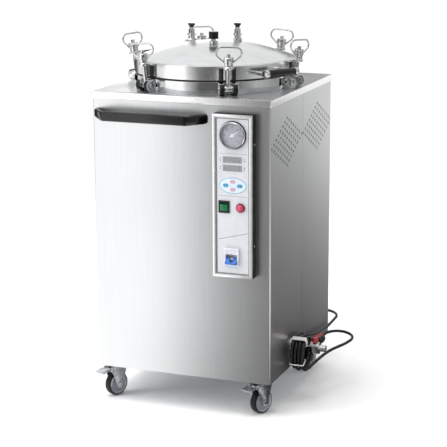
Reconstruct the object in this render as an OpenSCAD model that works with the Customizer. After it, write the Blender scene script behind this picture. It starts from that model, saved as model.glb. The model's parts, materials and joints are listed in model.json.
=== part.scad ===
// Vertical steam autoclave on casters: a steel cabinet round a pressure vessel with a domed lid.
// Millimetres, +Z up, front towards -Y, origin on the floor under the middle of the outline.

/* [Cabinet] */
// Width of the casing, side to side
casing_w = 560; // [540:5:640]
// Depth of the casing, front to back
casing_d = 580; // [560:5:660]
// Height of the casing, from its lower edge to the deck's top
casing_h = 851; // [820:5:950]
// Thickness of the casing and deck sheets
sheet = 1.5; // [1:0.1:2.5]
// Radius of the bends at the upright corners
bend_r = 5; // [3:0.5:10]
// How far the deck stands out over the casing
deck_over = 3.5; // [2.5:0.5:6]
// Height of the deck's skirt
deck_skirt = 20; // [12:1:40]
// Thickness of the floor tray
tray_t = 3; // [2:0.5:5]
// Height of the floor tray's flange
tray_flange = 40; // [20:5:80]
// Distance of the side seam behind the middle
seam_y = 5; // [-20:1:20]
// Gap between the two casings at the seam
seam_gap = 1; // [0.5:0.1:2]

/* [Side vents] */
// Diameter of a vent hole
vent_d = 6; // [4:0.5:8]
// Holes along each edge of a vent field
vent_rows = 8; // [2:1:8]
// Clear strip between a vent field and the casing's corner or seam
vent_margin = 8.5; // [7:0.5:12]
// Rise from one row to the next
vent_step_z = 10.1; // [9:0.1:12]
// Middle of a vent field, below the deck
vent_drop = 142; // [120:1:200]

/* [Vessel] */
// How far the chamber's wall lies inside the lid's rim
chamber_in = 44; // [42:1:54]
// Depth of the chamber's straight wall
chamber_straight = 540; // [500:10:580]
// Depth of the dished bottom
dish_h = 60; // [40:1:80]
// Wall of the vessel and its dished bottom
vessel_t = 3; // [2:0.5:5]
// Distance of the vessel's axis in front of the cabinet's middle
vessel_front = 10; // [0:1:14]
// How far the vessel's ring stands out past the lid's rim
ring_over = 1; // [0:0.5:2]
// Height of the vessel's ring
ring_h = 37; // [34:1:42]
// Thickness of the seal between the rings
seal_t = 5; // [4:0.5:7]
// How far the seal's rim lies inside the ring's rim
seal_inset = 4; // [2:0.5:8]

/* [Lid] */
// Outer diameter of the lid's ring
lid_d = 488; // [484:1:490]
// Height of the lid's ring
lid_ring_h = 40; // [38:1:44]
// How far the dome's edge lies inside the lid's rim
dome_in = 8; // [6:1:14]
// Height of the dome above the ring
dome_h = 47; // [35:1:60]
// Thickness of the dome
dome_t = 4; // [3:0.5:6]
// How far the lid lifts
lid_lift = 200; // [150:10:300]

/* [Swing bolts] */
// Number of swing bolts round the lid
bolt_count = 6; // [6:1:6]
// Distance of the hinge pins outside the lid's rim
bolt_out = 16; // [15:1:18]
// Lean of a slackened bolt, outwards from upright
bolt_lean = 7; // [6:0.5:9]
// Diameter of the bolt's stem
stem_d = 12; // [10:0.5:14]
// Length of the bolt from its pin to its tip
stem_l = 105; // [100:1:110]
// Diameter of the hinge pin
pin_d = 10; // [8:0.5:11]
// Diameter of the bolt's eye
eye_d = 22; // [20:0.5:24]
// Width of the bolt's eye
eye_w = 24; // [20:0.5:24.4]
// Width of the slot between a lug's two ears
slot_w = 25; // [25:0.5:27]
// Width over a lug's two ears
lug_w = 53; // [50:1:56]
// Width over the two ears on the lid
ear_w = 50; // [48:1:52]
// Diameter of the nut's body
nut_d = 30; // [28:0.5:31]
// Height of the nut's body
nut_h = 36; // [32:1:38]
// Width over the nut's loop
loop_w = 80; // [76:1:82]
// Height of the loop above the nut's base
loop_top = 67; // [62:1:70]
// Thickness of the loop's wire
loop_wire = 5.5; // [4:0.5:7]

/* [Lid handles and valves] */
// Diameter of a lid grip
grip_d = 23; // [20:1:28]
// Length of a lid grip
grip_l = 100; // [90:2:130]
// Distance of a grip outside the lid's rim
grip_out = 64; // [51:1:76]
// Diameter of a handle post
post_d = 12; // [10:1:18]
// Height of a safety valve's barrel
valve_h = 38; // [30:1:50]
// Diameter of a safety valve's barrel
valve_d = 20; // [16:1:24]
// Travel of a safety valve's pull
pull_travel = 4; // [2:0.5:6]
// Diameter of the bleed valve's knob
bleed_d = 29; // [24:1:34]
// Height of the bleed valve's knob
bleed_h = 21; // [16:1:26]

/* [Control panel] */
// Width of the panel box
panel_w = 123; // [110:1:140]
// Height of the panel box
panel_h = 482; // [460:1:520]
// How far the panel box stands out of the casing
panel_out = 28; // [26:1:40]
// Middle of the panel box, right of the cabinet's middle
panel_x = 173.5; // [160:0.5:180]
// Top of the panel box, below the deck
panel_drop = 41; // [30:1:60]
// Width of the panel's rim
panel_rim = 10; // [8:0.5:12]
// Thickness of the panel's walls and fascia
panel_t = 2; // [1.5:0.5:3]
// Diameter of the pressure gauge
gauge_d = 80; // [70:1:90]
// Diameter of the pilot lamp's bezel
lamp_d = 27; // [22:1:30]
// Width of the rocker switch's frame
switch_w = 34; // [30:1:40]
// Height of the rocker switch's frame
switch_h = 36; // [32:1:42]
// Width of the circuit breaker
breaker_w = 45; // [40:1:54]
// Height of the circuit breaker
breaker_h = 52; // [48:1:70]

/* [Push handle] */
// Width of the push handle where it meets the casing
push_w = 367; // [300:1:400]
// Width of the push handle's straight front
push_front_w = 269; // [220:1:290]
// How far the push handle stands out
push_out = 60; // [50:1:80]
// Height of the push handle's bar
push_h = 30; // [22:1:36]
// Thickness of the push handle's bar
push_t = 14; // [10:1:18]
// Middle of the push handle, left of the cabinet's middle
push_x = 93.5; // [85:0.5:100]
// Top of the push handle, below the deck
push_drop = 48; // [40:1:70]

/* [Casters] */
// Height from the floor to the cabinet's lower edge
caster_h = 110; // [106:1:120]
// Diameter of a caster's wheel
wheel_d = 75; // [70:1:78]
// Width of a caster's wheel
wheel_w = 24; // [20:1:26]
// Distance of the wheel's axle from the swivel's axis
caster_trail = 18; // [14:1:24]
// Distance of the swivels from the casing's sides
caster_in_x = 40; // [39:1:50]
// Distance of the swivels from the casing's front and back
caster_in_y = 72; // [50:1:90]
// Direction the casters trail at rest, turned from the front towards the left
caster_turn = 25; // [0:1:40]
// Diameter of a caster's axle
axle_d = 10; // [8:0.5:12]
// Reach of the brake pedal from the swivel's axis
pedal_reach = 88; // [80:1:96]

/* [Drain and power lead] */
// Diameter of the drain pipe
drain_d = 26; // [20:1:30]
// Length of the drain pipe, from the casing to the valve
drain_l = 62; // [62:1:80]
// Height of the drain pipe above the cabinet's lower edge
drain_z = 65; // [55:1:75]
// Distance of the drain pipe in front of the cabinet's middle
drain_front = 90; // [30:1:120]
// Diameter of the power lead
cord_d = 9; // [7:0.5:9]
// Radius of the coil's innermost turns
coil_r = 37; // [36:1:42]
// Spacing of the coil's turns, side by side and layer on layer
coil_pitch = 10.9; // [10.8:0.1:11.2]
// Layers in the coil
coil_layers = 4; // [2:2:4]
// Turns of each layer's spiral
coil_turns = 1.5; // [1.5:1:2.5]

/* [Hidden] */
$fn = 48;

// Clearances and the overrun of cuts
over = 2;
run_fit = 0.05;
slip = 0.2;
rest_gap = 0.3;

// Sizes that follow the casing's and the lid's
vent_y = casing_d / 4;
vent_step_y = (vent_y - vent_margin) / max(1, vent_rows - 1);
caster_x = casing_w / 2 - caster_in_x;
caster_y = casing_d / 2 - caster_in_y;
chamber_d = lid_d - 2 * chamber_in;
ring_d = lid_d + 2 * ring_over;
dome_d = lid_d - 2 * dome_in;
bolt_circle_d = lid_d + 2 * bolt_out;
grip_r = lid_d / 2 + grip_out;

// Heights of the main levels above the floor
deck_z = caster_h + casing_h;
ring_top = deck_z + ring_h;
seal_top = ring_top + seal_t;
lid_z = seal_top + rest_gap;
lid_top = lid_z + lid_ring_h;
dome_r = (pow(dome_d / 2, 2) + pow(dome_h, 2)) / (2 * dome_h);
dome_centre = lid_top + dome_h - dome_r;
dish_r = (pow(chamber_d / 2, 2) + pow(dish_h, 2)) / (2 * dish_h);
straight_z = ring_top - chamber_straight;
dish_centre = straight_z - dish_h + dish_r;
shell_d = chamber_d + 2 * vessel_t;

// Lugs, pins and swing bolts
bolt_step = 360 / bolt_count;
pin_z = ring_h / 2;
lug_end_r = ring_h / 2 - 0.5 * rest_gap;
ear_h = lid_ring_h - 4 * rest_gap - seal_t / 2;
ear_reach = 11;
ear_out = lid_d / 2 + ear_reach;
ear_cut = 6;
nut_base = ring_h - pin_z + seal_t + rest_gap + ear_h + rest_gap;
pin_head_d = 15;
pin_head_t = 3;
nut_waist = 2;
nut_foot_h = 6;
loop_bend_r = 16.5;
loop_bend_sweep = 140;
loop_leg_in = 2;
// Turn of each nut's loop about its bolt, from pointing outwards, so that the lid lifts past it
loop_turns = [63, 117, 81, 63, 117, 81];

// Dome of the lid and what stands on it: places from the vessel's axis
valve_left = [-95, 50];
valve_right = [52, 62];
bleed_at = [18, -52];
valve_hex_d = 28;
valve_hex_h = 9;
valve_cap_d = 15;
valve_cap_h = 5;
valve_stem_d = 5;
valve_neck_d = 14;
valve_neck_h = 5;
port_d = 6;
port_reach = 4;
port_share = 0.55;
wing_h = 6;
wing_t = 3;
wing_w = 22;
bleed_base_d = 26;
bleed_base_h = 9;
bleed_neck_d = 16;
bleed_neck_h = 6;
bleed_spindle_d = 6;
flute_count = 18;
flute_d = 2.4;
dome_bead_d = 4;
handle_angle = -30;
ferrule_l = post_d;
ferrule_d = grip_d + 1;
handle_z = lid_ring_h * 0.53;
lever_t = 3;
lever_w = 20;
lever_h = 22;

// Heater, grid and basket
heater_share = 0.35;
heater_r = heater_share * chamber_d;
heater_d = 10;
heater_gap_angle = 10;
heater_rise = 54;
heater_boss_d = 22;
heater_boss_h = 6;
heater_tail = 18;
grid_rise = 72;
grid_t = 3;
grid_margin = 9;
grid_foot_d = 10;
grid_foot_in = 32;
grid_foot_r = chamber_d / 2 - grid_foot_in;
grid_hole_d = 18;
grid_ring_step = 42;
basket_gap = 18;
basket_t = 1.5;
basket_h = 400;
basket_rim_d = 6;
basket_slot_w = 10;
basket_slot_h = 130;
basket_slots = 12;

// Control panel: places are heights above the cabinet's lower edge, or sideways from the middle
panel_top = deck_z - panel_drop;
panel_recess = 3;
panel_face = casing_d / 2 + panel_out - panel_recess;
gauge_at = [174, 750];
gauge_h = 12;
gauge_rim = 4.5;
gauge_barrel_d = 60;
gauge_barrel_h = 18;
gauge_floor = 3;
gauge_glass_t = 2;
gauge_glass_drop = 1.5;
gauge_pin_d = 3;
needle_l = 29;
needle_tail = 9;
needle_w = 2.4;
needle_hub_d = 9;
needle_t = 1.2;
needle_lift = 1.2;
needle_angle = -55;
display_w = 59;
display_h = 18;
display_t = 1.5;
display_x = 172.5;
display_z = [678, 653.5];
keypad_at = [174, 602.5];
keypad_w = 84;
keypad_h = 48;
keypad_t = 1;
key_w = 17;
key_h = 11;
key_t = 1.2;
key_dx = 21.5;
key_dz = 11.5;
switch_at = [147, 538.5];
switch_rim = 2.5;
switch_frame_t = 3;
switch_body_h = 16;
rocker_tilt = 9;
rocker_r = 21;
rocker_pin_d = 3;
rocker_drop = 15;
rocker_gap = 0.5;
lamp_at = [197.5, 538];
lamp_flange_t = 4;
lamp_lens_d = 21;
lamp_barrel_d = 18;
lamp_barrel_h = 16;
breaker_at = [170.5, 391.5];
breaker_out = 7;
breaker_in = 14;
toggle_w = 13;
toggle_gap = 9;
toggle_l = 19;
toggle_t = 7;
toggle_pin_d = 4;
toggle_slot_h = 30;
toggle_down = 18;
toggle_tilt = 40;
bar_t = 5;
bar_h = 8;
panel_screw_d = 8;
panel_screw_t = 2;
panel_screw_z = [723, 424];

// Casters
plate_w = 70;
plate_l = 62;
plate_t = 3;
head_d = 46;
head_h = 10;
crown_t = 4;
cheek_t = 3;
cheek_gap = 3;
cheek_root = 26;
cheek_end_d = 24;
axle_head_d = 15;
axle_head_t = 5;
hub_d = 30;
hub_ring_d = 56;
hub_sink = 3;
tyre_round = 5;
arm_reach = 46;
arm_drop = 26;
arm_d = 16;
pedal_pin_d = 6;
pedal_w = 40;
pedal_t = 3;
pedal_lip = 12;
pedal_ear_t = 2.5;
pedal_tilt = 12;
pedal_back = 8;

// Drain valve
drain_flange_d = 46;
drain_flange_t = 4;
drain_body_d = 38;
drain_body_l = 28;
drain_spout_d = 20;
drain_spout_l = 20;
drain_bore_d = 14;
drain_stem_d = 8;
drain_stem_h = 14;
drain_lever_l = 58;
drain_lever_w = 14;
drain_lever_t = 4;
drain_hub_d = 18;

// Power lead: the gland's place and the route's points, in this cabinet's own coordinates
gland_at = [199.5, 45];
gland_hex_d = 26;
gland_hex_h = 7;
gland_tail_d = 18;
gland_tail_l = 23;
coil_side = 12;
coil_share = 0.5;
coil_x = casing_w / 2 + coil_side + cord_d / 2;
coil_out_r = coil_r + coil_pitch * coil_turns;
coil_y = -drain_front;
coil_z = caster_h + drain_z + drain_d / 2 + rest_gap - coil_r + cord_d / 2;
coil_steps = 24;
cord_sides = 8;
tube_sides = 6;
// The lead's free stretch, from the gland on the back to the top of the coil
lead_route = [[199.5, 320, 155], [200.3, 338.3, 155], [204.4, 356.1, 155], [215.9, 372.6, 154],
    [233.6, 382.4, 153], [253.5, 383.3, 151], [271.9, 375.7, 149], [285.3, 361, 147], [291.3, 342, 145],
    [290.8, 320, 143], [290.8, 300, 142], [291, 275, 141], [291.5, 245, 141], [292, 215, 143],
    [293, 185, 146], [294, 155, 150], [295, 125, 154], [296, 95, 159], [296.5, 65, 165], [296.5, 35, 173],
    [296.5, 8, 182], [296.5, -18, 192], [296.5, -42, 201], [296.5, -63, 207]];
// The lead's tail, from the bottom of the coil out to the side and back to the plug
tail_route = [[332, -60.1, 104], [339.8, -39.2, 111], [350.8, -18.3, 122], [363.8, 2.6, 132],
    [377.8, 23.4, 139], [391.2, 44.3, 143], [402.6, 65.2, 146], [410.8, 86.1, 149], [414, 107, 151],
    [409.3, 127.2, 153], [396.3, 143.2, 155], [377.6, 152, 157], [356.9, 151.6, 158], [338.4, 142.2, 158],
    [326.9, 126.1, 157], [322.8, 108.3, 156], [322, 90, 155]];
plug_d = 32;
plug_l = 44;
plug_neck_d = 17;
plug_neck_l = 18;
blade_w = 6;
blade_t = 2;
blade_l = 17;

// Where the outline lies, for an origin on the floor under its middle
trail_x = sin(caster_turn);
trail_y = cos(caster_turn);
pedal_side = caster_x + pedal_reach * trail_x + pedal_w / 2 * trail_y;
pedal_front = caster_y + pedal_reach * trail_y + pedal_w / 2 * trail_x;
handle_side = grip_r * cos(handle_angle) + (grip_l / 2 + ferrule_l) * sin(-handle_angle)
    + ferrule_d / 2 * cos(handle_angle);
reach_left = max(casing_w / 2 + deck_over, pedal_side, handle_side);
reach_right = casing_w / 2 + drain_l + drain_body_l + drain_spout_l;
reach_front = max(casing_d / 2 + push_out, pedal_front);
reach_back = casing_d / 2 + deck_over;
shift = [(reach_left - reach_right) / 2, (reach_front - reach_back) / 2, 0];

module placed() { translate(shift) children(); }
module on_vessel(z) { translate([0, -vessel_front, z]) children(); }
module on_panel(place, lift) {
    translate([place[0], -panel_face, caster_h + place[1]]) rotate([90, 0, 0])
        translate([0, 0, lift]) children();
}
module at_bolt(i) {
    on_vessel(deck_z + pin_z) rotate([0, 0, i * bolt_step]) translate([bolt_circle_d / 2, 0, 0])
        children();
}
module along_y(d, l) { rotate([90, 0, 0]) cylinder(d = d, h = l, center = true); }
module along_x(d, l) { rotate([0, 90, 0]) cylinder(d = d, h = l); }
module bar(w, d, h) { translate([-w / 2, -d / 2, 0]) cube([w, d, h]); }
module rounded(w, d, r) {
    square([w - 2 * r, d], center = true);
    square([w, d - 2 * r], center = true);
    for (x = [-1, 1], y = [-1, 1]) translate([x * (w / 2 - r), y * (d / 2 - r)]) circle(r);
}
module revolved_ring(outer, inner, h, chamfer) {
    rotate_extrude($fn = 96) polygon([[inner, 0], [outer - chamfer, 0], [outer, chamfer],
        [outer, h - chamfer], [outer - chamfer, h], [inner, h]]);
}

// Cabinet
module casing_shell() {
    translate([0, 0, caster_h]) linear_extrude(casing_h - sheet) difference() {
        rounded(casing_w, casing_d, bend_r);
        rounded(casing_w - 2 * sheet, casing_d - 2 * sheet, bend_r - sheet);
    }
}
module vent_fields(y) {
    half = (vent_rows - 1) / 2;
    for (u = [0:vent_rows - 1], v = [0:vent_rows - 1])
        translate([-casing_w / 2 - over, seam_y + y + (u - v) * vent_step_y,
            deck_z - vent_drop + (u + v - 2 * half) * vent_step_z])
            along_x(vent_d, casing_w + 2 * over, $fn = 16);
}
module half_space(front) {
    cut_y = front ? seam_y - seam_gap / 2 : seam_y + seam_gap / 2 - casing_d;
    translate([-casing_w, cut_y, 0]) cube([2 * casing_w, casing_d, 2 * casing_h]);
}
module front_casing() {
    color("lightgray") difference() {
        casing_shell();
        half_space(true);
        vent_fields(-vent_y);
    }
}
module rear_casing() {
    color("lightgray") difference() {
        casing_shell();
        half_space(false);
        vent_fields(vent_y);
        translate([gland_at[0], casing_d / 2 - sheet / 2, caster_h + gland_at[1]])
            along_y(cord_d + 2 * slip, sheet + over);
    }
}
module base_frame() {
    inner_w = casing_w - 2 * (sheet + slip);
    inner_d = casing_d - 2 * (sheet + slip);
    color("silver") {
        translate([0, 0, caster_h]) difference() {
            linear_extrude(tray_flange) rounded(inner_w, inner_d, bend_r - sheet);
            translate([0, 0, tray_t]) linear_extrude(tray_flange)
                rounded(inner_w - 2 * tray_t, inner_d - 2 * tray_t, bend_r);
        }
        for (x = [-1, 1], y = [-1, 1]) translate([x * caster_x, y * caster_y, caster_h - plate_t])
            bar(plate_w, plate_l, plate_t);
    }
}
module deck() {
    w = casing_w + 2 * deck_over;
    d = casing_d + 2 * deck_over;
    color("whitesmoke") translate([0, 0, deck_z]) difference() {
        translate([0, 0, -deck_skirt]) linear_extrude(deck_skirt) rounded(w, d, bend_r);
        translate([0, 0, -deck_skirt - sheet]) linear_extrude(deck_skirt)
            rounded(w - 2 * sheet, d - 2 * sheet, bend_r - sheet);
        translate([0, -vessel_front, -over - sheet]) cylinder(d = shell_d + 2 * rest_gap,
            h = 2 * over + sheet, $fn = 96);
    }
}
module push_outline(inset) {
    slope = (push_w - push_front_w) / 2 / push_out;
    cut = inset * (sqrt(1 + slope * slope) - slope);
    polygon([[-push_w / 2 + inset * sqrt(1 + slope * slope), 0],
        [-push_front_w / 2 + cut, inset - push_out],
        [push_front_w / 2 - cut, inset - push_out],
        [push_w / 2 - inset * sqrt(1 + slope * slope), 0]]);
}
module push_handle() {
    color("dimgray") translate([-push_x, -casing_d / 2, deck_z - push_drop - push_h])
        difference() {
            linear_extrude(push_h) push_outline(0);
            translate([0, 0, -over]) linear_extrude(push_h + 2 * over) {
                push_outline(push_t);
                translate([-push_w / 2 + 1.2 * push_t, 0]) square([push_w - 2.4 * push_t, over]);
            }
        }
}

// Pressure vessel
module vessel_body(d, r, drop) {
    translate([0, 0, straight_z]) cylinder(d = d, h = ring_top - straight_z + drop, $fn = 96);
    intersection() {
        translate([0, 0, dish_centre]) sphere(r, $fn = 96);
        translate([0, 0, dish_centre - r - over]) cylinder(d = d,
            h = straight_z - dish_centre + r + over + slip, $fn = 96);
    }
}
module vessel() {
    color("silver") on_vessel(0) difference() {
        union() {
            vessel_body(shell_d, dish_r + vessel_t, 0);
            translate([0, 0, straight_z - vessel_t]) cylinder(d = shell_d, h = 2 * vessel_t);
        }
        vessel_body(chamber_d, dish_r, over);
        heater_legs(heater_d + 2 * slip, over);
    }
}
module lug_block(w) {
    rotate([90, 0, 0]) translate([0, 0, -w / 2]) {
        cylinder(r = lug_end_r, h = w);
        translate([-lug_end_r, -lug_end_r, 0]) cube([lug_end_r, 2 * lug_end_r, w]);
    }
}
module vessel_ring() {
    color("gainsboro") difference() {
        union() {
            on_vessel(deck_z) revolved_ring(ring_d / 2, shell_d / 2 + slip, ring_h, rest_gap);
            for (i = [0:bolt_count - 1]) at_bolt(i) lug_block(lug_w);
        }
        for (i = [0:bolt_count - 1]) at_bolt(i) {
            translate([(ring_d - bolt_circle_d) / 2 + rest_gap, -slot_w / 2, -ring_h])
                cube([2 * ring_h, slot_w, 2 * ring_h]);
            along_y(pin_d + 2 * run_fit, lug_w + over);
        }
    }
}
module seal_ring() {
    color("black") on_vessel(ring_top)
        revolved_ring(ring_d / 2 - seal_inset, shell_d / 2 + slip, seal_t, rest_gap);
}
module closure_pins() {
    color("silver") for (i = [0:bolt_count - 1]) at_bolt(i) {
        along_y(pin_d, lug_w);
        for (s = [-1, 1]) translate([0, s * (lug_w + pin_head_t) / 2, 0])
            along_y(pin_head_d, pin_head_t);
    }
}
module heater_legs(d, more) {
    for (s = [-1, 1]) rotate([0, 0, s * heater_gap_angle / 2])
        translate([heater_r, 0, straight_z - dish_h - heater_tail - more])
            cylinder(d = d, h = heater_rise + heater_tail + 2 * more);
}
module heater() {
    level = straight_z - dish_h + heater_rise;
    color("silver") on_vessel(0) {
        heater_legs(heater_d, 0);
        translate([0, 0, level]) rotate([0, 0, heater_gap_angle / 2])
            rotate_extrude(angle = 360 - heater_gap_angle, $fn = 96)
                translate([heater_r, 0]) circle(d = heater_d);
    }
}
module basket_grid() {
    r = chamber_d / 2 - grid_margin;
    dish_at_foot = dish_centre - sqrt(pow(dish_r, 2) - pow(grid_foot_r + grid_foot_d / 2, 2));
    grid_z = straight_z - dish_h + grid_rise;
    color("silver") on_vessel(0) {
        translate([0, 0, grid_z]) difference() {
            cylinder(r = r, h = grid_t);
            for (ring = [1:3], k = [0:6 * ring - 1]) rotate([0, 0, k * 60 / ring])
                translate([ring * grid_ring_step, 0, -over]) cylinder(d = grid_hole_d, h = grid_t + 2 * over);
        }
        for (k = [0:2]) rotate([0, 0, 30 + k * 120]) translate([grid_foot_r, 0, dish_at_foot + rest_gap])
            cylinder(d = grid_foot_d, h = grid_z - dish_at_foot - rest_gap);
    }
}
module basket() {
    r = chamber_d / 2 - basket_gap;
    base = straight_z - dish_h + grid_rise + grid_t + rest_gap;
    color("silver") on_vessel(base) difference() {
        union() {
            cylinder(r = r, h = basket_h, $fn = 96);
            translate([0, 0, basket_h - basket_rim_d / 2]) rotate_extrude($fn = 96)
                translate([r, 0]) circle(d = basket_rim_d);
        }
        translate([0, 0, basket_t]) cylinder(r = r - basket_t, h = basket_h + over, $fn = 96);
        for (row = [0, 1], k = [0:basket_slots - 1]) rotate([0, 0, k * 360 / basket_slots])
            translate([r - 4 * basket_t, -basket_slot_w / 2,
                basket_h * (0.1 + 0.45 * row)]) cube([8 * basket_t, basket_slot_w, basket_slot_h]);
    }
}

// Lid
module dome_solid(r) { translate([0, 0, dome_centre]) sphere(r, $fn = 128); }
module lid() {
    color("gainsboro") difference() {
        union() {
            on_vessel(lid_z) revolved_ring(lid_d / 2, shell_d / 2, lid_ring_h, rest_gap);
            on_vessel(0) intersection() {
                dome_solid(dome_r);
                translate([0, 0, lid_top - slip]) cylinder(d = dome_d, h = 2 * dome_h, $fn = 96);
            }
            on_vessel(lid_top) rotate_extrude($fn = 96) translate([dome_d / 2, 0])
                circle(d = dome_bead_d);
        }
        on_vessel(0) intersection() {
            dome_solid(dome_r - dome_t);
            translate([0, 0, lid_z - over]) cylinder(d = shell_d, h = lid_ring_h + 2 * dome_h, $fn = 96);
        }
    }
}
module at_handle(k) {
    on_vessel(lid_z + handle_z) rotate([0, 0, handle_angle + 180 * k]) children();
}
// The ears that the bolts pass between and the nuts bear on
module lid_ears() {
    for (i = [0:bolt_count - 1]) on_vessel(lid_z) rotate([0, 0, i * bolt_step]) difference() {
        for (s = [0, 1]) translate([0, 0, s * ear_h]) rotate([180 * s, 0, 0]) linear_extrude(ear_h)
            polygon([[ear_out - 2 * ear_reach, slot_w / 2], [ear_out, slot_w / 2],
                [ear_out, ear_w / 2 - ear_cut], [ear_out - ear_cut, ear_w / 2],
                [ear_out - 2 * ear_reach, ear_w / 2]]);
        translate([0, 0, -over]) cylinder(d = lid_d + 2 * slip, h = ear_h + 2 * over, $fn = 96);
    }
}
module lid_brackets() {
    color("silver") lid_ears();
    color("silver") for (k = [0, 1]) at_handle(k) difference() {
        for (s = [-1, 1]) translate([0, s * (grip_l + ferrule_l) / 2, 0]) {
            translate([lid_d / 3, 0, 0]) along_x(post_d, grip_r - lid_d / 3);
            translate([grip_r, 0, 0]) along_y(ferrule_d, ferrule_l);
        }
        translate([0, 0, -lid_ring_h]) cylinder(d = lid_d + 2 * slip, h = 2 * lid_ring_h, $fn = 96);
    }
}
module lid_grips() {
    color("black") for (k = [0, 1]) at_handle(k) translate([grip_r, 0, 0]) along_y(grip_d, grip_l);
}
module on_dome(place) { on_vessel(0) translate([place[0], place[1], 0]) children(); }
function dome_level(place) = dome_centre + sqrt(pow(dome_r, 2) - pow(place[0], 2) - pow(place[1], 2));
module safety_valve(place) {
    base = dome_level(place);
    on_dome(place) translate([0, 0, base]) difference() {
        union() {
            translate([0, 0, -valve_hex_h]) cylinder(d = valve_hex_d, h = 2 * valve_hex_h, $fn = 6);
            cylinder(d = valve_d, h = valve_h);
            translate([0, 0, valve_h]) cylinder(d = valve_neck_d, h = valve_neck_h);
            for (turn = [0, 90]) rotate([0, 0, turn]) translate([0, 0, valve_h * port_share])
                along_y(port_d, valve_d + 2 * port_reach);
        }
        translate([0, 0, valve_h / 2]) cylinder(d = valve_stem_d + 2 * run_fit, h = valve_h);
    }
}
module lid_valves() {
    color("silver") difference() {
        union() {
            safety_valve(valve_left);
            safety_valve(valve_right);
            on_dome(bleed_at) translate([0, 0, dome_level(bleed_at)]) difference() {
                union() {
                    translate([0, 0, -bleed_base_h]) cylinder(d = bleed_base_d, h = 2 * bleed_base_h);
                    cylinder(d = bleed_neck_d, h = bleed_base_h + bleed_neck_h);
                }
                translate([0, 0, over]) cylinder(d = bleed_spindle_d + 2 * run_fit,
                    h = bleed_base_h + bleed_neck_h);
            }
            on_dome(valve_left) translate([-lever_w - valve_hex_d / 2 + over, -lever_t / 2,
                dome_level(valve_left) - valve_hex_h]) rotate([90, 0, 0])
                translate([0, 0, -lever_t]) linear_extrude(lever_t)
                    polygon([[0, 0], [lever_w, 0], [lever_w, lever_h]]);
        }
        on_vessel(0) dome_solid(dome_r + slip / 2);
    }
}
module valve_pull(place) {
    base = dome_level(place) + valve_h + valve_neck_h + rest_gap;
    color("black") on_dome(place) translate([0, 0, base]) {
        cylinder(d = valve_cap_d, h = valve_cap_h);
        translate([0, 0, -valve_h / 3]) cylinder(d = valve_stem_d, h = valve_h / 3 + valve_cap_h);
        translate([0, 0, valve_cap_h]) bar(wing_w, wing_t, wing_h);
    }
}
module bleed_knob() {
    base = dome_level(bleed_at) + bleed_base_h + bleed_neck_h + rest_gap;
    color("black") on_dome(bleed_at) translate([0, 0, base]) {
        difference() {
            cylinder(d = bleed_d, h = bleed_h);
            for (k = [0:flute_count - 1]) rotate([0, 0, k * 360 / flute_count])
                translate([bleed_d / 2, 0, -over]) cylinder(d = flute_d, h = bleed_h + 2 * over);
        }
        translate([0, 0, -bleed_neck_h]) cylinder(d = bleed_spindle_d, h = bleed_neck_h + over);
    }
}

// Swing bolts and their nuts, leaning out as when slackened
module leaning(i) { at_bolt(i) rotate([0, bolt_lean, 0]) children(); }
module swing_bolt(i) {
    color("silver") leaning(i) difference() {
        union() {
            along_y(eye_d, eye_w);
            cylinder(d = stem_d, h = stem_l);
        }
        along_y(pin_d + 2 * run_fit, eye_w + over);
    }
}
module loop_half() {
    bend_x = loop_w / 2 - loop_wire / 2 - loop_bend_r;
    fall = 90 - loop_bend_sweep;
    leg_l = (bend_x + loop_bend_r * cos(fall) - nut_d / 2 + loop_leg_in) / sin(-fall);
    translate([bend_x, 0, loop_top - loop_wire / 2 - loop_bend_r]) {
        rotate([90, 0, 0]) rotate([0, 0, fall])
            rotate_extrude(angle = loop_bend_sweep) translate([loop_bend_r, 0]) circle(d = loop_wire);
        translate([loop_bend_r * cos(fall), 0, loop_bend_r * sin(fall)]) rotate([0, 180 - fall, 0])
            cylinder(d = loop_wire, h = leg_l);
        translate([-bend_x, 0, loop_bend_r]) rotate([0, 90, 0]) cylinder(d = loop_wire, h = bend_x);
    }
}
module loop_nut(i) {
    color("silver") leaning(i) translate([0, 0, nut_base]) rotate([0, 0, loop_turns[i]])
        difference() {
            union() {
                rotate_extrude() polygon([[0, 0], [nut_d / 2, 0], [nut_d / 2, nut_foot_h],
                    [nut_d / 2 - nut_waist, nut_foot_h + nut_waist],
                    [nut_d / 2 - nut_waist, nut_h / 2], [nut_d / 2, nut_h / 2 + nut_waist],
                    [nut_d / 2, nut_h - nut_waist], [nut_d / 2 - nut_waist, nut_h], [0, nut_h]]);
                for (s = [0, 1]) mirror([s, 0, 0]) loop_half();
            }
            translate([0, 0, -over]) cylinder(d = stem_d + 2 * run_fit, h = nut_h + 2 * over);
        }
}

// Control panel
module panel_holes(h) {
    on_panel(gauge_at, -h) cylinder(d = gauge_barrel_d + 2 * slip, h = 2 * h);
    on_panel(lamp_at, -h) cylinder(d = lamp_barrel_d + 2 * slip, h = 2 * h);
    on_panel(switch_at, -h) bar(switch_w - 2 * switch_rim + 2 * slip,
        switch_h - 2 * switch_rim + 2 * slip, 2 * h);
    on_panel(breaker_at, -h) bar(breaker_w + 2 * slip, breaker_h + 2 * slip, 2 * h);
}
module panel_box() {
    face = [panel_x, (panel_top - caster_h) - panel_h / 2];
    floor_z = -panel_out + panel_recess;
    color("gray") {
        difference() {
            on_panel(face, floor_z) bar(panel_w, panel_h, panel_out);
            on_panel(face, floor_z - over) bar(panel_w - 2 * panel_t, panel_h - 2 * panel_t,
                panel_out + over - panel_recess - 2 * panel_t);
            on_panel(face, -panel_t) bar(panel_w - 2 * panel_rim, panel_h - 2 * panel_rim,
                panel_recess + panel_t + over);
            panel_holes(panel_out / 2);
        }
        for (z = panel_screw_z) translate([panel_x + panel_w / 2, -casing_d / 2 - panel_out / 2,
            caster_h + z]) along_x(panel_screw_d, panel_screw_t);
    }
}
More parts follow.
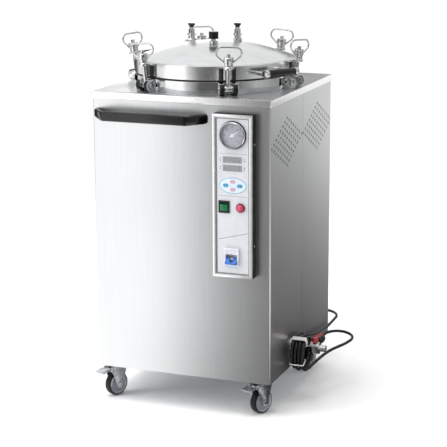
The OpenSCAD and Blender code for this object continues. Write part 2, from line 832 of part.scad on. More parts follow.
module panel_fascia() {
    face = [panel_x, (panel_top - caster_h) - panel_h / 2];
    color("white") difference() {
        on_panel(face, -panel_t) bar(panel_w - 2 * panel_rim - 2 * slip,
            panel_h - 2 * panel_rim - 2 * slip, panel_t);
        panel_holes(panel_out / 2);
    }
}
module gauge_case() {
    cup = gauge_d / 2 - gauge_rim;
    color("silver") on_panel(gauge_at, 0) {
        rotate_extrude($fn = 96) polygon([[0, -gauge_barrel_h], [gauge_barrel_d / 2, -gauge_barrel_h],
            [gauge_barrel_d / 2, 0], [gauge_d / 2, 0], [gauge_d / 2, gauge_h - gauge_rim / 2],
            [gauge_d / 2 - gauge_rim / 2, gauge_h], [cup, gauge_h], [cup, gauge_floor], [0, gauge_floor]]);
        cylinder(d = gauge_pin_d, h = gauge_floor + needle_lift + 2 * needle_t);
    }
}
module gauge_glass() {
    color("lightblue", 0.4) on_panel(gauge_at, gauge_h - gauge_glass_drop - gauge_glass_t)
        cylinder(d = gauge_d - 2 * gauge_rim - 2 * slip, h = gauge_glass_t, $fn = 96);
}
module gauge_needle() {
    color("black") on_panel(gauge_at, gauge_floor + needle_lift) rotate([0, 0, needle_angle])
        difference() {
            union() {
                cylinder(d = needle_hub_d, h = needle_t);
                linear_extrude(needle_t) polygon([[-needle_w / 2, -needle_tail],
                    [needle_w / 2, -needle_tail], [needle_w / 2, 0], [0, needle_l], [-needle_w / 2, 0]]);
            }
            translate([0, 0, -over]) cylinder(d = gauge_pin_d + 2 * run_fit, h = needle_t + 2 * over);
        }
}
module display_windows() {
    color("gray") for (z = display_z) on_panel([display_x, z], 0) bar(display_w, display_h, display_t);
}
module oval(w, h, t) { linear_extrude(t) scale([w / h, 1]) circle(d = h, $fn = 40); }
module keypad() {
    color("lightcyan") on_panel(keypad_at, 0) {
        oval(keypad_w, keypad_h, keypad_t);
        for (s = [-1, 1]) {
            translate([s * key_dx, 0, 0]) oval(key_w, key_h, keypad_t + key_t);
            translate([0, s * key_dz, 0]) oval(key_w, key_h, keypad_t + key_t);
        }
    }
}
module switch_frame() {
    hole_w = switch_w - 4 * switch_rim;
    hole_h = switch_h - 4 * switch_rim;
    color("black") on_panel(switch_at, 0) {
        difference() {
            union() {
                bar(switch_w, switch_h, switch_frame_t);
                translate([0, 0, -switch_body_h]) bar(switch_w - 2 * switch_rim,
                    switch_h - 2 * switch_rim, switch_body_h + over);
            }
            translate([0, 0, panel_t - switch_body_h]) bar(hole_w, hole_h,
                switch_body_h + switch_frame_t);
        }
        translate([-hole_w / 2, 0, switch_frame_t - rocker_drop + over]) along_x(rocker_pin_d, hole_w);
    }
}
module switch_rocker() {
    w = switch_w - 4 * switch_rim - 2 * rocker_gap;
    h = switch_h - 4 * switch_rim - 4 * rocker_gap;
    pivot = switch_frame_t - rocker_drop + over;
    color("green") on_panel(switch_at, pivot) rotate([rocker_tilt, 0, 0]) difference() {
        intersection() {
            translate([-w / 2, 0, 0]) along_x(h, w);
            bar(w, h, h);
        }
        translate([-w / 2 - over, 0, 0]) along_x(rocker_pin_d + 2 * run_fit, w + 2 * over);
    }
    color("green") on_panel(switch_at, pivot) rotate([rocker_tilt, 0, 0]) difference() {
        bar(w, h * 0.8, rocker_drop);
        translate([-w / 2 - over, 0, 0]) along_x(h * 0.8, w + 2 * over);
    }
}
module pilot_lamp() {
    color("red") on_panel(lamp_at, 0) {
        cylinder(d = lamp_d, h = lamp_flange_t);
        translate([0, 0, -lamp_barrel_h]) cylinder(d = lamp_barrel_d, h = lamp_barrel_h);
        translate([0, 0, lamp_flange_t]) intersection() {
            sphere(d = lamp_lens_d);
            cylinder(d = lamp_lens_d, h = lamp_lens_d / 3);
        }
    }
}
module breaker_body() {
    slot_w_all = 2 * toggle_w + toggle_gap + 2 * rocker_gap;
    color("whitesmoke") on_panel(breaker_at, 0) {
        difference() {
            translate([0, 0, -breaker_in]) bar(breaker_w, breaker_h, breaker_in + breaker_out);
            translate([-slot_w_all / 2, -toggle_slot_h / 2 - bar_h, -breaker_in + over])
                cube([slot_w_all, toggle_slot_h, breaker_in + breaker_out]);
        }
        translate([-slot_w_all / 2, -bar_h, 0]) along_x(toggle_pin_d, slot_w_all);
    }
}
module breaker_lever() {
    color("royalblue") on_panel(breaker_at, 0) translate([0, -bar_h, 0]) rotate([toggle_tilt, 0, 0])
        difference() {
            union() {
                for (s = [-1, 1]) translate([s * (toggle_w + toggle_gap) / 2, 0, 0]) {
                    translate([-toggle_w / 2, 0, 0]) along_x(toggle_t + over, toggle_w);
                    bar(toggle_w, toggle_t, toggle_l);
                }
                translate([0, 0, toggle_l - bar_t]) bar(2 * toggle_w + toggle_gap, toggle_t, bar_t);
            }
            translate([-breaker_w / 2, 0, 0]) along_x(toggle_pin_d + 2 * run_fit, breaker_w);
        }
}

// Casters
caster_sides = [[-1, -1], [1, -1], [1, 1], [-1, 1]];
module at_caster(n) {
    translate([caster_sides[n][0] * caster_x, caster_sides[n][1] * caster_y, 0])
        rotate([0, 0, -90 - caster_turn]) children();
}
module cheek_outline() {
    top = caster_h - plate_t - slip - head_h - wheel_d / 2;
    circle(d = cheek_end_d);
    polygon([[-cheek_end_d / 2, 0], [cheek_end_d / 2, 0], [arm_reach - caster_trail + arm_d / 2, top],
        [-caster_trail - cheek_root / 2, top]]);
    translate([arm_reach - caster_trail, top - arm_d / 2]) circle(d = arm_d);
}
module caster_fork(n) {
    crown = caster_h - plate_t - slip - head_h;
    gap = wheel_w / 2 + cheek_gap;
    arm = [arm_reach, crown - arm_d / 2];
    color("silver") at_caster(n) difference() {
        union() {
            translate([0, 0, crown]) cylinder(d = head_d, h = head_h);
            translate([-cheek_root / 2, -gap - cheek_t, crown - crown_t])
                cube([arm_reach + cheek_root / 2 - arm_d, 2 * (gap + cheek_t), crown_t]);
            for (s = [-1, 1]) translate([caster_trail, s * (gap + cheek_t / 2), wheel_d / 2])
                rotate([90, 0, 0]) translate([0, 0, -cheek_t / 2]) linear_extrude(cheek_t) cheek_outline();
            translate([caster_trail, 0, wheel_d / 2]) along_y(axle_d, 2 * (gap + cheek_t));
            for (s = [-1, 1]) translate([caster_trail, s * (gap + cheek_t + axle_head_t / 2), wheel_d / 2])
                along_y(axle_head_d, axle_head_t);
        }
        translate([arm[0], 0, arm[1]]) along_y(pedal_pin_d + 2 * run_fit, 4 * gap);
    }
}
module caster_wheel(n) {
    color("dimgray") at_caster(n) translate([caster_trail, 0, wheel_d / 2]) rotate([90, 0, 0])
        difference() {
            translate([0, 0, -wheel_w / 2]) rotate_extrude($fn = 72) polygon(concat(
                [[0, 0], [hub_d / 2, 0], [hub_d / 2, hub_sink], [hub_ring_d / 2, hub_sink],
                    [hub_ring_d / 2, 0]],
                [for (a = [0:15:90]) [wheel_d / 2 - tyre_round * (1 - sin(a)), tyre_round * (1 - cos(a))]],
                [for (a = [90:-15:0]) [wheel_d / 2 - tyre_round * (1 - sin(a)),
                    wheel_w - tyre_round * (1 - cos(a))]],
                [[hub_ring_d / 2, wheel_w], [hub_ring_d / 2, wheel_w - hub_sink],
                    [hub_d / 2, wheel_w - hub_sink], [hub_d / 2, wheel_w], [0, wheel_w]]));
            cylinder(d = axle_d + 2 * run_fit, h = wheel_w + over, center = true);
        }
}
module brake_pedal(n) {
    crown = caster_h - plate_t - slip - head_h;
    ear_x = wheel_w / 2 + cheek_gap - rest_gap - pedal_ear_t / 2;
    color("silver") at_caster(n) translate([arm_reach, 0, crown - arm_d / 2]) {
        along_y(pedal_pin_d, 2 * (wheel_w / 2 + cheek_gap + cheek_t));
        for (s = [-1, 1]) translate([0, s * ear_x, 0]) along_y(arm_d - over, pedal_ear_t);
        translate([arm_d / 2 + rest_gap + over, -pedal_w / 2, 0]) rotate([0, pedal_tilt, 0])
            cube([(pedal_reach - arm_reach - arm_d / 2 - rest_gap - over) / cos(pedal_tilt) - pedal_t,
                pedal_w, pedal_t]);
        for (s = [-1, 1]) translate([0, s * ear_x - pedal_ear_t / 2, -pedal_t])
            cube([arm_d, pedal_ear_t, 2 * pedal_t]);
    }
}

// Drain valve on the right side
module at_drain() { translate([casing_w / 2, -drain_front, caster_h + drain_z]) children(); }
module drain_valve() {
    stem_x = drain_l + drain_body_l / 2;
    color("silver") at_drain() difference() {
        union() {
            along_x(drain_d, drain_l);
            along_x(drain_flange_d, drain_flange_t);
            translate([drain_l, 0, 0]) rotate([0, 90, 0]) cylinder(d = drain_body_d, h = drain_body_l, $fn = 6);
            translate([drain_l + drain_body_l, 0, 0]) along_x(drain_spout_d, drain_spout_l);
            translate([stem_x, 0, 0]) cylinder(d = drain_stem_d, h = drain_body_d / 2 + drain_stem_h);
        }
        translate([drain_l + drain_body_l - over, 0, 0]) along_x(drain_bore_d, drain_spout_l + 2 * over);
    }
}
module drain_lever() {
    stem_x = drain_l + drain_body_l / 2;
    color("firebrick") at_drain() translate([stem_x, 0, drain_body_d / 2 + rest_gap]) difference() {
        union() {
            cylinder(d = drain_hub_d, h = drain_stem_h - 2 * rest_gap);
            translate([-drain_lever_w / 2, 0, drain_stem_h / 2])
                cube([drain_lever_w, drain_lever_l, drain_lever_t]);
        }
        translate([0, 0, -over]) cylinder(d = drain_stem_d + 2 * run_fit, h = drain_stem_h + 2 * over);
    }
}

// Power lead
module cord_gland() {
    color("black") translate([gland_at[0], casing_d / 2, caster_h + gland_at[1]]) rotate([-90, 0, 0])
        difference() {
            union() {
                cylinder(d = gland_hex_d, h = gland_hex_h, $fn = 6);
                cylinder(d = gland_tail_d, h = gland_hex_h + gland_tail_l);
            }
            translate([0, 0, -over]) cylinder(d = cord_d - over, h = gland_hex_h);
        }
}
function unit(v) = v / norm(v);
function tangent(p, i) = unit(p[min(i + 1, len(p) - 1)] - p[max(i - 1, 0)]);
function side_of(t, s) = unit(s - (s * t) * t);
function sides_along(p, i = 0, s = [0, 0, 1]) = i == len(p) ? [] :
    let (n = side_of(tangent(p, i), s)) concat([n], sides_along(p, i + 1, n));
function ring_points(c, t, n, d, sides) = [for (k = [0:sides - 1])
    let (a = k * 360 / sides) c + d / 2 * (cos(a) * n + sin(a) * cross(t, n))];
module tube(p, d, sides) {
    n = sides_along(p);
    rows = len(p);
    points = [for (i = [0:rows - 1]) each ring_points(p[i], tangent(p, i), n[i], d, sides)];
    walls = [for (i = [0:rows - 2], k = [0:sides - 1]) let (a = i * sides + k,
        b = i * sides + (k + 1) % sides) each [[a, a + sides, b], [b, a + sides, b + sides]]];
    ends = [for (k = [1:sides - 2]) each [[0, k, k + 1],
        [(rows - 1) * sides, (rows - 1) * sides + k + 1, (rows - 1) * sides + k]]];
    polyhedron(points, concat(walls, ends));
}
// A smooth curve through the route's points, straight at both ends
function blend(a, b, c, d, t) = 0.5 * ((2 * b) + (c - a) * t + (2 * a - 5 * b + 4 * c - d) * t * t
    + (3 * b - a - 3 * c + d) * t * t * t);
function curve(p, steps) = [for (i = [0:len(p) - 2], k = [0:steps - 1])
    blend(p[max(i - 1, 0)], p[i], p[i + 1], p[min(i + 2, len(p) - 1)], k / steps), p[len(p) - 1]];
lead_in = [coil_x, coil_y + cord_d, coil_z + coil_out_r];
tail_out = [coil_x + coil_pitch * (coil_layers - 1), coil_y + cord_d, coil_z - coil_out_r];
module power_cord() {
    color("black") tube(curve(concat(lead_route, [lead_in]), 2), cord_d, cord_sides);
}
module cord_tail() {
    color("black") tube(curve(concat([tail_out], tail_route), 2), cord_d, cord_sides);
}
// Angle run of one spiral and one climb, and the coil's radius and layer at any angle
spiral_run = 360 * coil_turns;
layer_run = spiral_run + 180;
coil_run = coil_layers * layer_run - 180;
function coil_radius(a) = let (k = floor(a / layer_run), u = min(a - k * layer_run, spiral_run) / 360)
    k % 2 == 0 ? coil_out_r - coil_pitch * u : coil_r + coil_pitch * u;
function coil_layer(a) = let (k = floor(a / layer_run))
    k + max(0, a - k * layer_run - spiral_run) / 180;
function coil_point(a) = [coil_x + coil_pitch * coil_layer(a), coil_y + coil_radius(a) * cos(90 + a),
    coil_z + coil_radius(a) * sin(90 + a)];
coil_path = concat([lead_in], [for (a = [0:360 / coil_steps:coil_run]) coil_point(a)], [tail_out]);
function coil_gap() = min([for (i = [0:len(coil_path) - 1], j = [i + coil_steps / 2:len(coil_path) - 1])
    norm(coil_path[i] - coil_path[j])]) - cord_d;
module cord_coil() {
    echo(least_gap_between_turns = coil_gap());
    color("black") tube(coil_path, cord_d, tube_sides);
}
module plug() {
    last = tail_route[len(tail_route) - 1];
    color("black") translate(last) rotate([90, 0, 0]) {
        cylinder(d1 = cord_d + over, d2 = plug_neck_d, h = plug_neck_l);
        translate([0, 0, plug_neck_l]) cylinder(d = plug_d, h = plug_l);
        for (a = [0, 120, 240]) rotate([0, 0, a]) translate([plug_d / 4, 0, plug_neck_l + plug_l])
            bar(blade_t, blade_w, blade_l);
    }
}

placed() base_frame();
placed() front_casing();
placed() rear_casing();
placed() deck();
placed() push_handle();
placed() vessel();
placed() vessel_ring();
placed() seal_ring();
placed() closure_pins();
placed() heater();
placed() basket_grid();
placed() basket();
placed() lid();
placed() lid_brackets();
placed() lid_grips();
placed() lid_valves();
placed() valve_pull(valve_left);  // valve_pull_left
placed() valve_pull(valve_right);  // valve_pull_right
placed() bleed_knob();
for (i = [0:bolt_count - 1]) {
    letter = chr(97 + i);
    placed() swing_bolt(i);
    placed() loop_nut(i);
}
placed() panel_box();
placed() panel_fascia();
placed() gauge_case();
placed() gauge_glass();
placed() gauge_needle();
placed() display_windows();
placed() keypad();
placed() switch_frame();
placed() switch_rocker();
placed() pilot_lamp();
placed() breaker_body();
placed() breaker_lever();
for (n = [0:len(caster_sides) - 1]) {
    placed() caster_fork(n);
    placed() caster_wheel(n);
}
for (n = [0, 1])
    placed() brake_pedal(n);
placed() drain_valve();
placed() drain_lever();
placed() cord_gland();
placed() power_cord();
placed() cord_coil();
placed() cord_tail();
placed() plug();
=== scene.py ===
"""A vertical steam autoclave: brushed steel cabinet, mirror-polished lid and swing bolts, control panel."""
import json
from math import cos, floor, pi, radians, sin
import bmesh
import bpy
from mathutils import Matrix, Vector

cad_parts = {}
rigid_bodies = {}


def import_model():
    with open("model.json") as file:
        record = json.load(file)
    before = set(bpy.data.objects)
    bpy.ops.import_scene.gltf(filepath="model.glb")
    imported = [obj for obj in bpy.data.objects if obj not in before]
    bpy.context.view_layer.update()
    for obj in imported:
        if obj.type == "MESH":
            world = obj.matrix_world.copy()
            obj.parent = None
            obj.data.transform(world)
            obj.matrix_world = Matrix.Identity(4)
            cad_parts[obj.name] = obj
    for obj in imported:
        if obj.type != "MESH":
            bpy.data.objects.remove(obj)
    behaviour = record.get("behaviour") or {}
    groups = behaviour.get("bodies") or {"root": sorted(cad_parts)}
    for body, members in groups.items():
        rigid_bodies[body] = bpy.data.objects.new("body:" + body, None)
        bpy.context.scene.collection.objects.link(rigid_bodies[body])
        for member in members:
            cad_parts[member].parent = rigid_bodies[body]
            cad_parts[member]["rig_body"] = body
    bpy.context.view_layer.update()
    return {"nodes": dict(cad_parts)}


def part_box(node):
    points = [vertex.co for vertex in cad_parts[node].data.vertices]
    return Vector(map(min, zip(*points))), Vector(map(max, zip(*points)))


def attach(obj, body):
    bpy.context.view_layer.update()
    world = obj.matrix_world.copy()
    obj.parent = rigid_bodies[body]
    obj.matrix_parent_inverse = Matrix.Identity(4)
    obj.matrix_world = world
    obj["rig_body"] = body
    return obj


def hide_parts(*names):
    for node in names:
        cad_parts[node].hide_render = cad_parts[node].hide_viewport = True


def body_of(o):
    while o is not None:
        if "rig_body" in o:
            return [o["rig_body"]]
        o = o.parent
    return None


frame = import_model()
bpy.ops.object.select_all(action="DESELECT")

# Camera
# The photograph's view: turned 21 degrees to the object's right and tilted 13 degrees down, through a
# long lens. The part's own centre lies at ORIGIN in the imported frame.
ORIGIN = Vector((-0.040936, 0.02825, 0.0))
photo_px, focal_px, film_mm = 447, 1573.92, 36
turn, tilt, roll = radians(21.0712), radians(13.3909), radians(-0.2739)
aside, raised, away = 0.019547, 0.39475, 5.0279
caster_height = 0.110
back = Vector((sin(turn) * cos(tilt), -cos(turn) * cos(tilt), sin(tilt)))
level = Vector((cos(turn), sin(turn), 0))
upright = level.cross(-back)
right = level * cos(roll) + upright * sin(roll)
up = -level * sin(roll) + upright * cos(roll)
camera = bpy.data.objects.new("camera", bpy.data.cameras.new("camera"))
bpy.context.collection.objects.link(camera)
camera.data.sensor_width = film_mm
camera.data.lens = focal_px * film_mm / photo_px
camera.data.clip_end = 100
place = right * aside + up * raised + back * away + ORIGIN + Vector((0, 0, caster_height))
camera.matrix_world = Matrix.Translation(place) @ Matrix((right, up, back)).transposed().to_4x4()
bpy.context.scene.camera = camera
bpy.context.scene.view_settings.view_transform = "Standard"


# Studio light
# A wide overhead softbox, a tall one at the left that gives no highlight on the steel, and a weak strip
# behind. The studio is white below the horizon and grey above it, with a dark line just over the horizon.
def linear(code):
    """An sRGB colour, written as six hex digits, as Blender's linear colour."""
    parts = [int(code[i:i + 2], 16) / 255 for i in (0, 2, 4)]
    return [c / 12.92 if c <= 0.04045 else ((c + 0.055) / 1.055) ** 2.4 for c in parts] + [1.0]


def add(tree, kind, inputs=None, stops=(), **settings):
    """Adds a node, sets its properties, sets or links its inputs, and sets its (place, hex colour) stops."""
    made = tree.nodes.new(kind)
    for name, value in settings.items():
        setattr(made, name, value)
    for name, value in (inputs or {}).items():
        if isinstance(value, bpy.types.NodeSocket):
            tree.links.new(value, made.inputs[name])
        else:
            made.inputs[name].default_value = value
    if stops:
        while len(made.color_ramp.elements) < len(stops):
            made.color_ramp.elements.new(0.5)
        for element, (at, code) in zip(made.color_ramp.elements, stops):
            element.position = at
            element.color = linear(code)
    return made


def area_light(name, at, aim, size, power):
    """A soft rectangular light at a place, turned to face another."""
    lamp = bpy.data.objects.new(name, bpy.data.lights.new(name, "AREA"))
    bpy.context.collection.objects.link(lamp)
    lamp.data.shape = "RECTANGLE"
    lamp.data.size, lamp.data.size_y = size
    lamp.data.energy = power
    lamp.location = at
    lamp.rotation_euler = (Vector(aim) - Vector(at)).to_track_quat("-Z", "Y").to_euler()
    return lamp


area_light("overhead softbox", (-0.6, -0.6, 4.2), (0, 0, 0), (3.6, 3.6), 150)
left_softbox = area_light("left softbox", (-2.6, -2.2, 1.5), (-0.2, 0, 0.6), (1.6, 2.6), 60)
left_softbox.visible_glossy = False
area_light("rear strip", (2.6, 2.6, 1.6), (0.2, 0, 0.7), (0.8, 2.4), 18)
world = bpy.data.worlds.new("studio")
world.use_nodes = True
bpy.context.scene.world = world
tree = world.node_tree
facing = add(tree, "ShaderNodeTexCoord").outputs["Generated"]
height = add(tree, "ShaderNodeSeparateXYZ", {"Vector": facing}).outputs["Z"]
lifted = add(tree, "ShaderNodeMapRange", {"Value": height, "From Min": -1.0, "From Max": 1.0})
studio_strength = 1.05
studio_tones = [(0.3, "FFFFFF"), (0.495, "FFFFFF"), (0.52, "424244"), (0.62, "B5B6B7"), (0.8, "DDDDDD")]
tone = add(tree, "ShaderNodeValToRGB", {"Fac": lifted.outputs[0]}, studio_tones)
tree.nodes["Background"].inputs["Strength"].default_value = studio_strength
tree.links.new(tone.outputs["Color"], tree.nodes["Background"].inputs["Color"])


# Floor
# A round sheet of white studio paper under the object. It is wide enough for the whole shadow, and its
# edge is lost in the white of the studio.
def surface(name, **values):
    """A new material: itself, its node tree and its shader."""
    made = bpy.data.materials.new(name)
    made.use_nodes = True
    shader = made.node_tree.nodes["Principled BSDF"]
    for key, value in values.items():
        shader.inputs[key.replace("_", " ")].default_value = value
    return made, made.node_tree, shader


def mottled(name, patch, dark, light, detail=2.0, reach=(0.3, 0.7), rough=None, bump=0.0, **values):
    """A material in two near tones, in patches of a size in millimetres. Its gloss and relief may follow."""
    made, tree, shader = surface(name, **values)
    spot = add(tree, "ShaderNodeTexCoord").outputs["Object"]
    noise = add(tree, "ShaderNodeTexNoise", {"Vector": spot, "Scale": 1000 / patch, "Detail": detail})
    pattern = noise.outputs["Fac"]
    tone = add(tree, "ShaderNodeValToRGB", {"Fac": pattern}, [(reach[0], dark), (reach[1], light)])
    tree.links.new(tone.outputs["Color"], shader.inputs["Base Color"])
    if rough:
        gloss = add(tree, "ShaderNodeMapRange", {"Value": pattern, "To Min": rough[0], "To Max": rough[1]})
        tree.links.new(gloss.outputs[0], shader.inputs["Roughness"])
    if bump:
        relief = add(tree, "ShaderNodeBump", {"Strength": bump, "Distance": 0.0002, "Height": pattern})
        tree.links.new(relief.outputs["Normal"], shader.inputs["Normal"])
    return made


# Uncoated paper: no sheen at all, only the faint cloudiness of its pulp, 25 mm across.
paper = mottled("white paper sweep", 25, "FCFCFC", "FFFFFF", 3.0, Roughness=0.9, Specular_IOR_Level=0.0)
sweep_r, sweep_at = 2.9, (-0.2, 0.2, 0)
bpy.ops.mesh.primitive_circle_add(vertices=128, radius=sweep_r, fill_type="NGON", location=sweep_at)
bpy.ops.object.transform_apply(location=True)
floor_sheet = bpy.context.object
floor_sheet.name = "floor"
floor_sheet.data.materials.append(paper)


# Reflector cards
# Tall and lying cards round the object, each with its own run of tones. Only the steel's reflections see
# them: they give the polished rings their black lines and the walls their slow change from white to grey.
def card(name, at, turned, size, stops, power, lean=0.0, lying=False):
    """A card whose tone runs from side to side, or along a lean in degrees."""
    bpy.ops.mesh.primitive_plane_add(size=1, location=at,
                                     rotation=(0 if lying else radians(90), 0, radians(turned)))
    sheet = bpy.context.object
    sheet.name = name
    sheet.scale = (size[0], size[1], 1)
    bpy.ops.object.transform_apply(location=False, rotation=False, scale=True)
    made, tree, shader = surface(name, Base_Color=(0, 0, 0, 1), Roughness=1.0, Specular_IOR_Level=0.0,
                                 Emission_Strength=power)
    spot = add(tree, "ShaderNodeTexCoord").outputs["Object"]
    run = add(tree, "ShaderNodeVectorMath", {0: spot, 1: (cos(radians(lean)), sin(radians(lean)), 0)},
              operation="DOT_PRODUCT")
    share = add(tree, "ShaderNodeMapRange", {"Value": run.outputs["Value"], "From Min": -size[0] / 2,
                                             "From Max": size[0] / 2})
    tone = add(tree, "ShaderNodeValToRGB", {"Fac": share.outputs[0]}, stops)
    tree.links.new(tone.outputs["Color"], shader.inputs["Emission Color"])
    sheet.data.materials.append(made)
    for ray in ("camera", "diffuse", "transmission", "shadow", "volume_scatter"):
        setattr(sheet, "visible_" + ray, False)


card("front card", (-0.3, -0.9, 0.66), 0, (1.4, 1.3),
     [(0.28, "F0F0F0"), (0.43, "FFFFFF"), (0.54, "B4B4B4"), (0.71, "5C5C5C"), (0.8, "505050")], 1.9)
card("front floor card", (-0.4, -1.1, 0.004), 0, (2.2, 1.6),
     [(0.3, "FFFFFF"), (0.46, "F4F4F4"), (0.57, "8C8C8C"), (0.68, "424242"), (0.85, "383838")],
     1.85, lean=-21, lying=True)
card("side card", (0.5, 0.62, 0.6), 0, (0.7, 1.2),
     [(0.02, "4A4A4A"), (0.29, "8C8C8C"), (0.424, "A8A8A8"), (0.586, "D0D0D0"), (0.62, "E2E2E2"),
      (0.8, "FCFCFC")], 1.0, lean=145)
card("side floor card", (0.6, 0.5, 0.004), 0, (0.7, 1.5), [(0.2, "484848"), (0.8, "3A3A3A")], 1.0, lying=True)
card("rear card", (-0.8, 1.5, 1.165), 0, (2.8, 0.43),
     [(0.52, "FFFFFF"), (0.61, "C0C0C0"), (0.69, "505050"), (0.8, "404040"), (0.9, "909090")], 2.15)
card("rear high card", (0.0, 1.5, 2.0), 0, (5.0, 1.24),
     [(0.2, "F8F8F8"), (0.55, "F0F0F0"), (0.75, "D8D8D8")], 1.05)
card("rear low card", (0.0, 1.6, 0.48), 0, (6.0, 0.94), [(0.3, "101010"), (0.7, "161616")], 1.0)
card("ceiling card", (0.0, 1.5, 3.0), 0, (6.0, 5.0), [(0.3, "FFFFFF"), (0.7, "F0F0F0")], 0.98, lying=True)
card("right card", (1.5, -0.6, 0.9), 90, (3.0, 1.2),
     [(0.1, "383838"), (0.35, "8C8C8C"), (0.6, "D8D8D8"), (0.9, "B0B0B0")], 1.0)


# Power lead
# A black rubber-sheathed mains lead of 9 mm. It leaves a gland low on the back, comes round the corner,
# is wound on the drain pipe in four flat spirals, and ends in a moulded plug. Points are in millimetres.
def blend_point(a, b, c, d, t):
    """The point a share t of the way from b to c, on a smooth curve that also heeds a and d."""
    return 0.5 * (2 * b + (c - a) * t + (2 * a - 5 * b + 4 * c - d) * t * t + (3 * b - a - 3 * c + d) * t * t * t)


def smooth_route(points, steps):
    """A curve through points, with a few steps between each two."""
    p = [Vector(q) / 1000 + ORIGIN for q in points]
    made = []
    for i in range(len(p) - 1):
        for k in range(steps):
            made.append(blend_point(p[max(i - 1, 0)], p[i], p[i + 1], p[min(i + 2, len(p) - 1)], k / steps))
    return made + [p[-1]]


lead_points = [(199.5, 320, 155), (200.3, 338.3, 155), (204.4, 356.1, 155), (215.9, 372.6, 154),
               (233.6, 382.4, 153), (253.5, 383.3, 151), (271.9, 375.7, 149), (285.3, 361, 147), (291.3, 342, 145),
               (290.8, 320, 143), (290.8, 300, 142), (291, 275, 141), (291.5, 245, 141), (292, 215, 143),
               (293, 185, 146), (294, 155, 150), (295, 125, 154), (296, 95, 159), (296.5, 65, 165),
               (296.5, 35, 173), (296.5, 8, 182), (296.5, -18, 192), (296.5, -42, 201), (296.5, -63, 207)]
tail_points = [(332, -60.1, 104), (339.8, -39.2, 111), (350.8, -18.3, 122), (363.8, 2.6, 132),
               (377.8, 23.4, 139), (391.2, 44.3, 143), (402.6, 65.2, 146), (410.8, 86.1, 149), (414, 107, 151),
               (409.3, 127.2, 153), (396.3, 143.2, 155), (377.6, 152, 157), (356.9, 151.6, 158),
               (338.4, 142.2, 158), (326.9, 126.1, 157), (322.8, 108.3, 156), (322, 90, 155)]
cord_d, coil_r, coil_pitch, coil_layers, coil_turns = 9.0, 37.0, 10.9, 4, 1.5
coil_x, coil_y, coil_z = 296.5, -90.0, 155.8
coil_out_r = coil_r + coil_pitch * coil_turns
climb_run = 180
spiral_run = 360 * coil_turns
layer_run = spiral_run + climb_run


def coil_point(angle):
    """The coil's centreline: four spirals, in and out by turns, with a half turn's climb between them."""
    k = floor(angle / layer_run)
    inward = min(angle - k * layer_run, spiral_run) / 360
    r = coil_out_r - coil_pitch * inward if k % 2 == 0 else coil_r + coil_pitch * inward
    layer = k + max(0, angle - k * layer_run - spiral_run) / climb_run
    a = radians(90 + angle)
    return (coil_x + coil_pitch * layer, coil_y + r * cos(a), coil_z + r * sin(a))


lead_in = (coil_x, coil_y + cord_d, coil_z + coil_out_r)
tail_out = (coil_x + coil_pitch * (coil_layers - 1), coil_y + cord_d, coil_z - coil_out_r)
coil_end = int(coil_layers * layer_run - climb_run)
steps_between, coil_step = 3, 15
route = smooth_route(lead_points + [lead_in], steps_between)
route += [Vector(coil_point(a)) / 1000 + ORIGIN for a in range(0, coil_end + 1, coil_step)]
route += smooth_route([tail_out] + tail_points, steps_between)
curve = bpy.data.curves.new("mains lead", "CURVE")
curve.dimensions = "3D"
curve.bevel_depth = cord_d / 2000
curve.bevel_resolution = 3
line = curve.splines.new("POLY")
line.points.add(len(route) - 1)
for point, at in zip(line.points, route):
    point.co = (*at, 1)
lead = bpy.data.objects.new("mains_lead", curve)
bpy.context.collection.objects.link(lead)
# Extruded rubber: deep black with a soft sheen along the top, scuffed in 4 mm patches.
curve.materials.append(mottled("black rubber sheath", 3.85, "0A0A0B", "141416", Roughness=0.3))
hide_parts("power_cord", "cord_coil", "cord_tail")
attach(lead, "cabinet")


# Plug and cord gland
# The plug is moulded on the lead's end, and the gland is a nut screwed into the rear casing. Both are of
# black plastic, with the round edges of a mould.
def settle(piece, name, material, angle=30):
    """Names a finished piece, moves its place into its mesh, smooths its rounded faces and colours it."""
    bpy.ops.object.select_all(action="DESELECT")
    piece.select_set(True)
    bpy.context.view_layer.objects.active = piece
    bpy.ops.object.transform_apply(location=True, rotation=True, scale=True)
    bpy.ops.object.shade_smooth_by_angle(angle=radians(angle))
    piece.name = name
    piece.data.materials.clear()
    piece.data.materials.append(material)
    return piece


def softened(name, node, material, bevel=0.0004):
    """A copy of a CAD node, merged where points are closer than 0.02 mm, with its edges rounded by a width in
    metres. It stands for the node and rides on its body."""
    piece = frame["nodes"][node].copy()
    piece.data = piece.data.copy()
    piece.parent = None
    bpy.context.collection.objects.link(piece)
    piece.matrix_world = Matrix.Identity(4)
    bpy.ops.object.select_all(action="DESELECT")
    piece.select_set(True)
    bpy.context.view_layer.objects.active = piece
    bpy.ops.mesh.customdata_custom_splitnormals_clear()
    bpy.ops.object.mode_set(mode="EDIT")
    bpy.ops.mesh.select_all(action="SELECT")
    bpy.ops.mesh.remove_doubles(threshold=0.00002)
    bpy.ops.mesh.dissolve_limited(angle_limit=radians(0.5))
    bpy.ops.mesh.select_all(action="DESELECT")
    bpy.ops.object.mode_set(mode="OBJECT")
    if bevel:
        rounding = piece.modifiers.new("Bevel", "BEVEL")
        rounding.width, rounding.segments = bevel, 2
        rounding.limit_method, rounding.angle_limit = "ANGLE", radians(38)
        rounding.harden_normals = False
        rounding.miter_outer = "MITER_ARC"
        bpy.ops.object.modifier_apply(modifier=rounding.name)
    settle(piece, name, material, 32)
    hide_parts(node)
    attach(piece, body_of(frame["nodes"][node])[0])
    return piece


# Spark-eroded mould texture: dull black with a fine tooth. The real 0.1 mm tooth is drawn at 1.1 mm to show.
moulded_black = mottled("moulded black plastic", 1.11, "161617", "202022", bump=0.15, Roughness=0.42)
plug = softened("moulded_plug", "plug", moulded_black, 0.0012)
gland = softened("cord_gland_nut", "cord_gland", moulded_black, 0.0008)

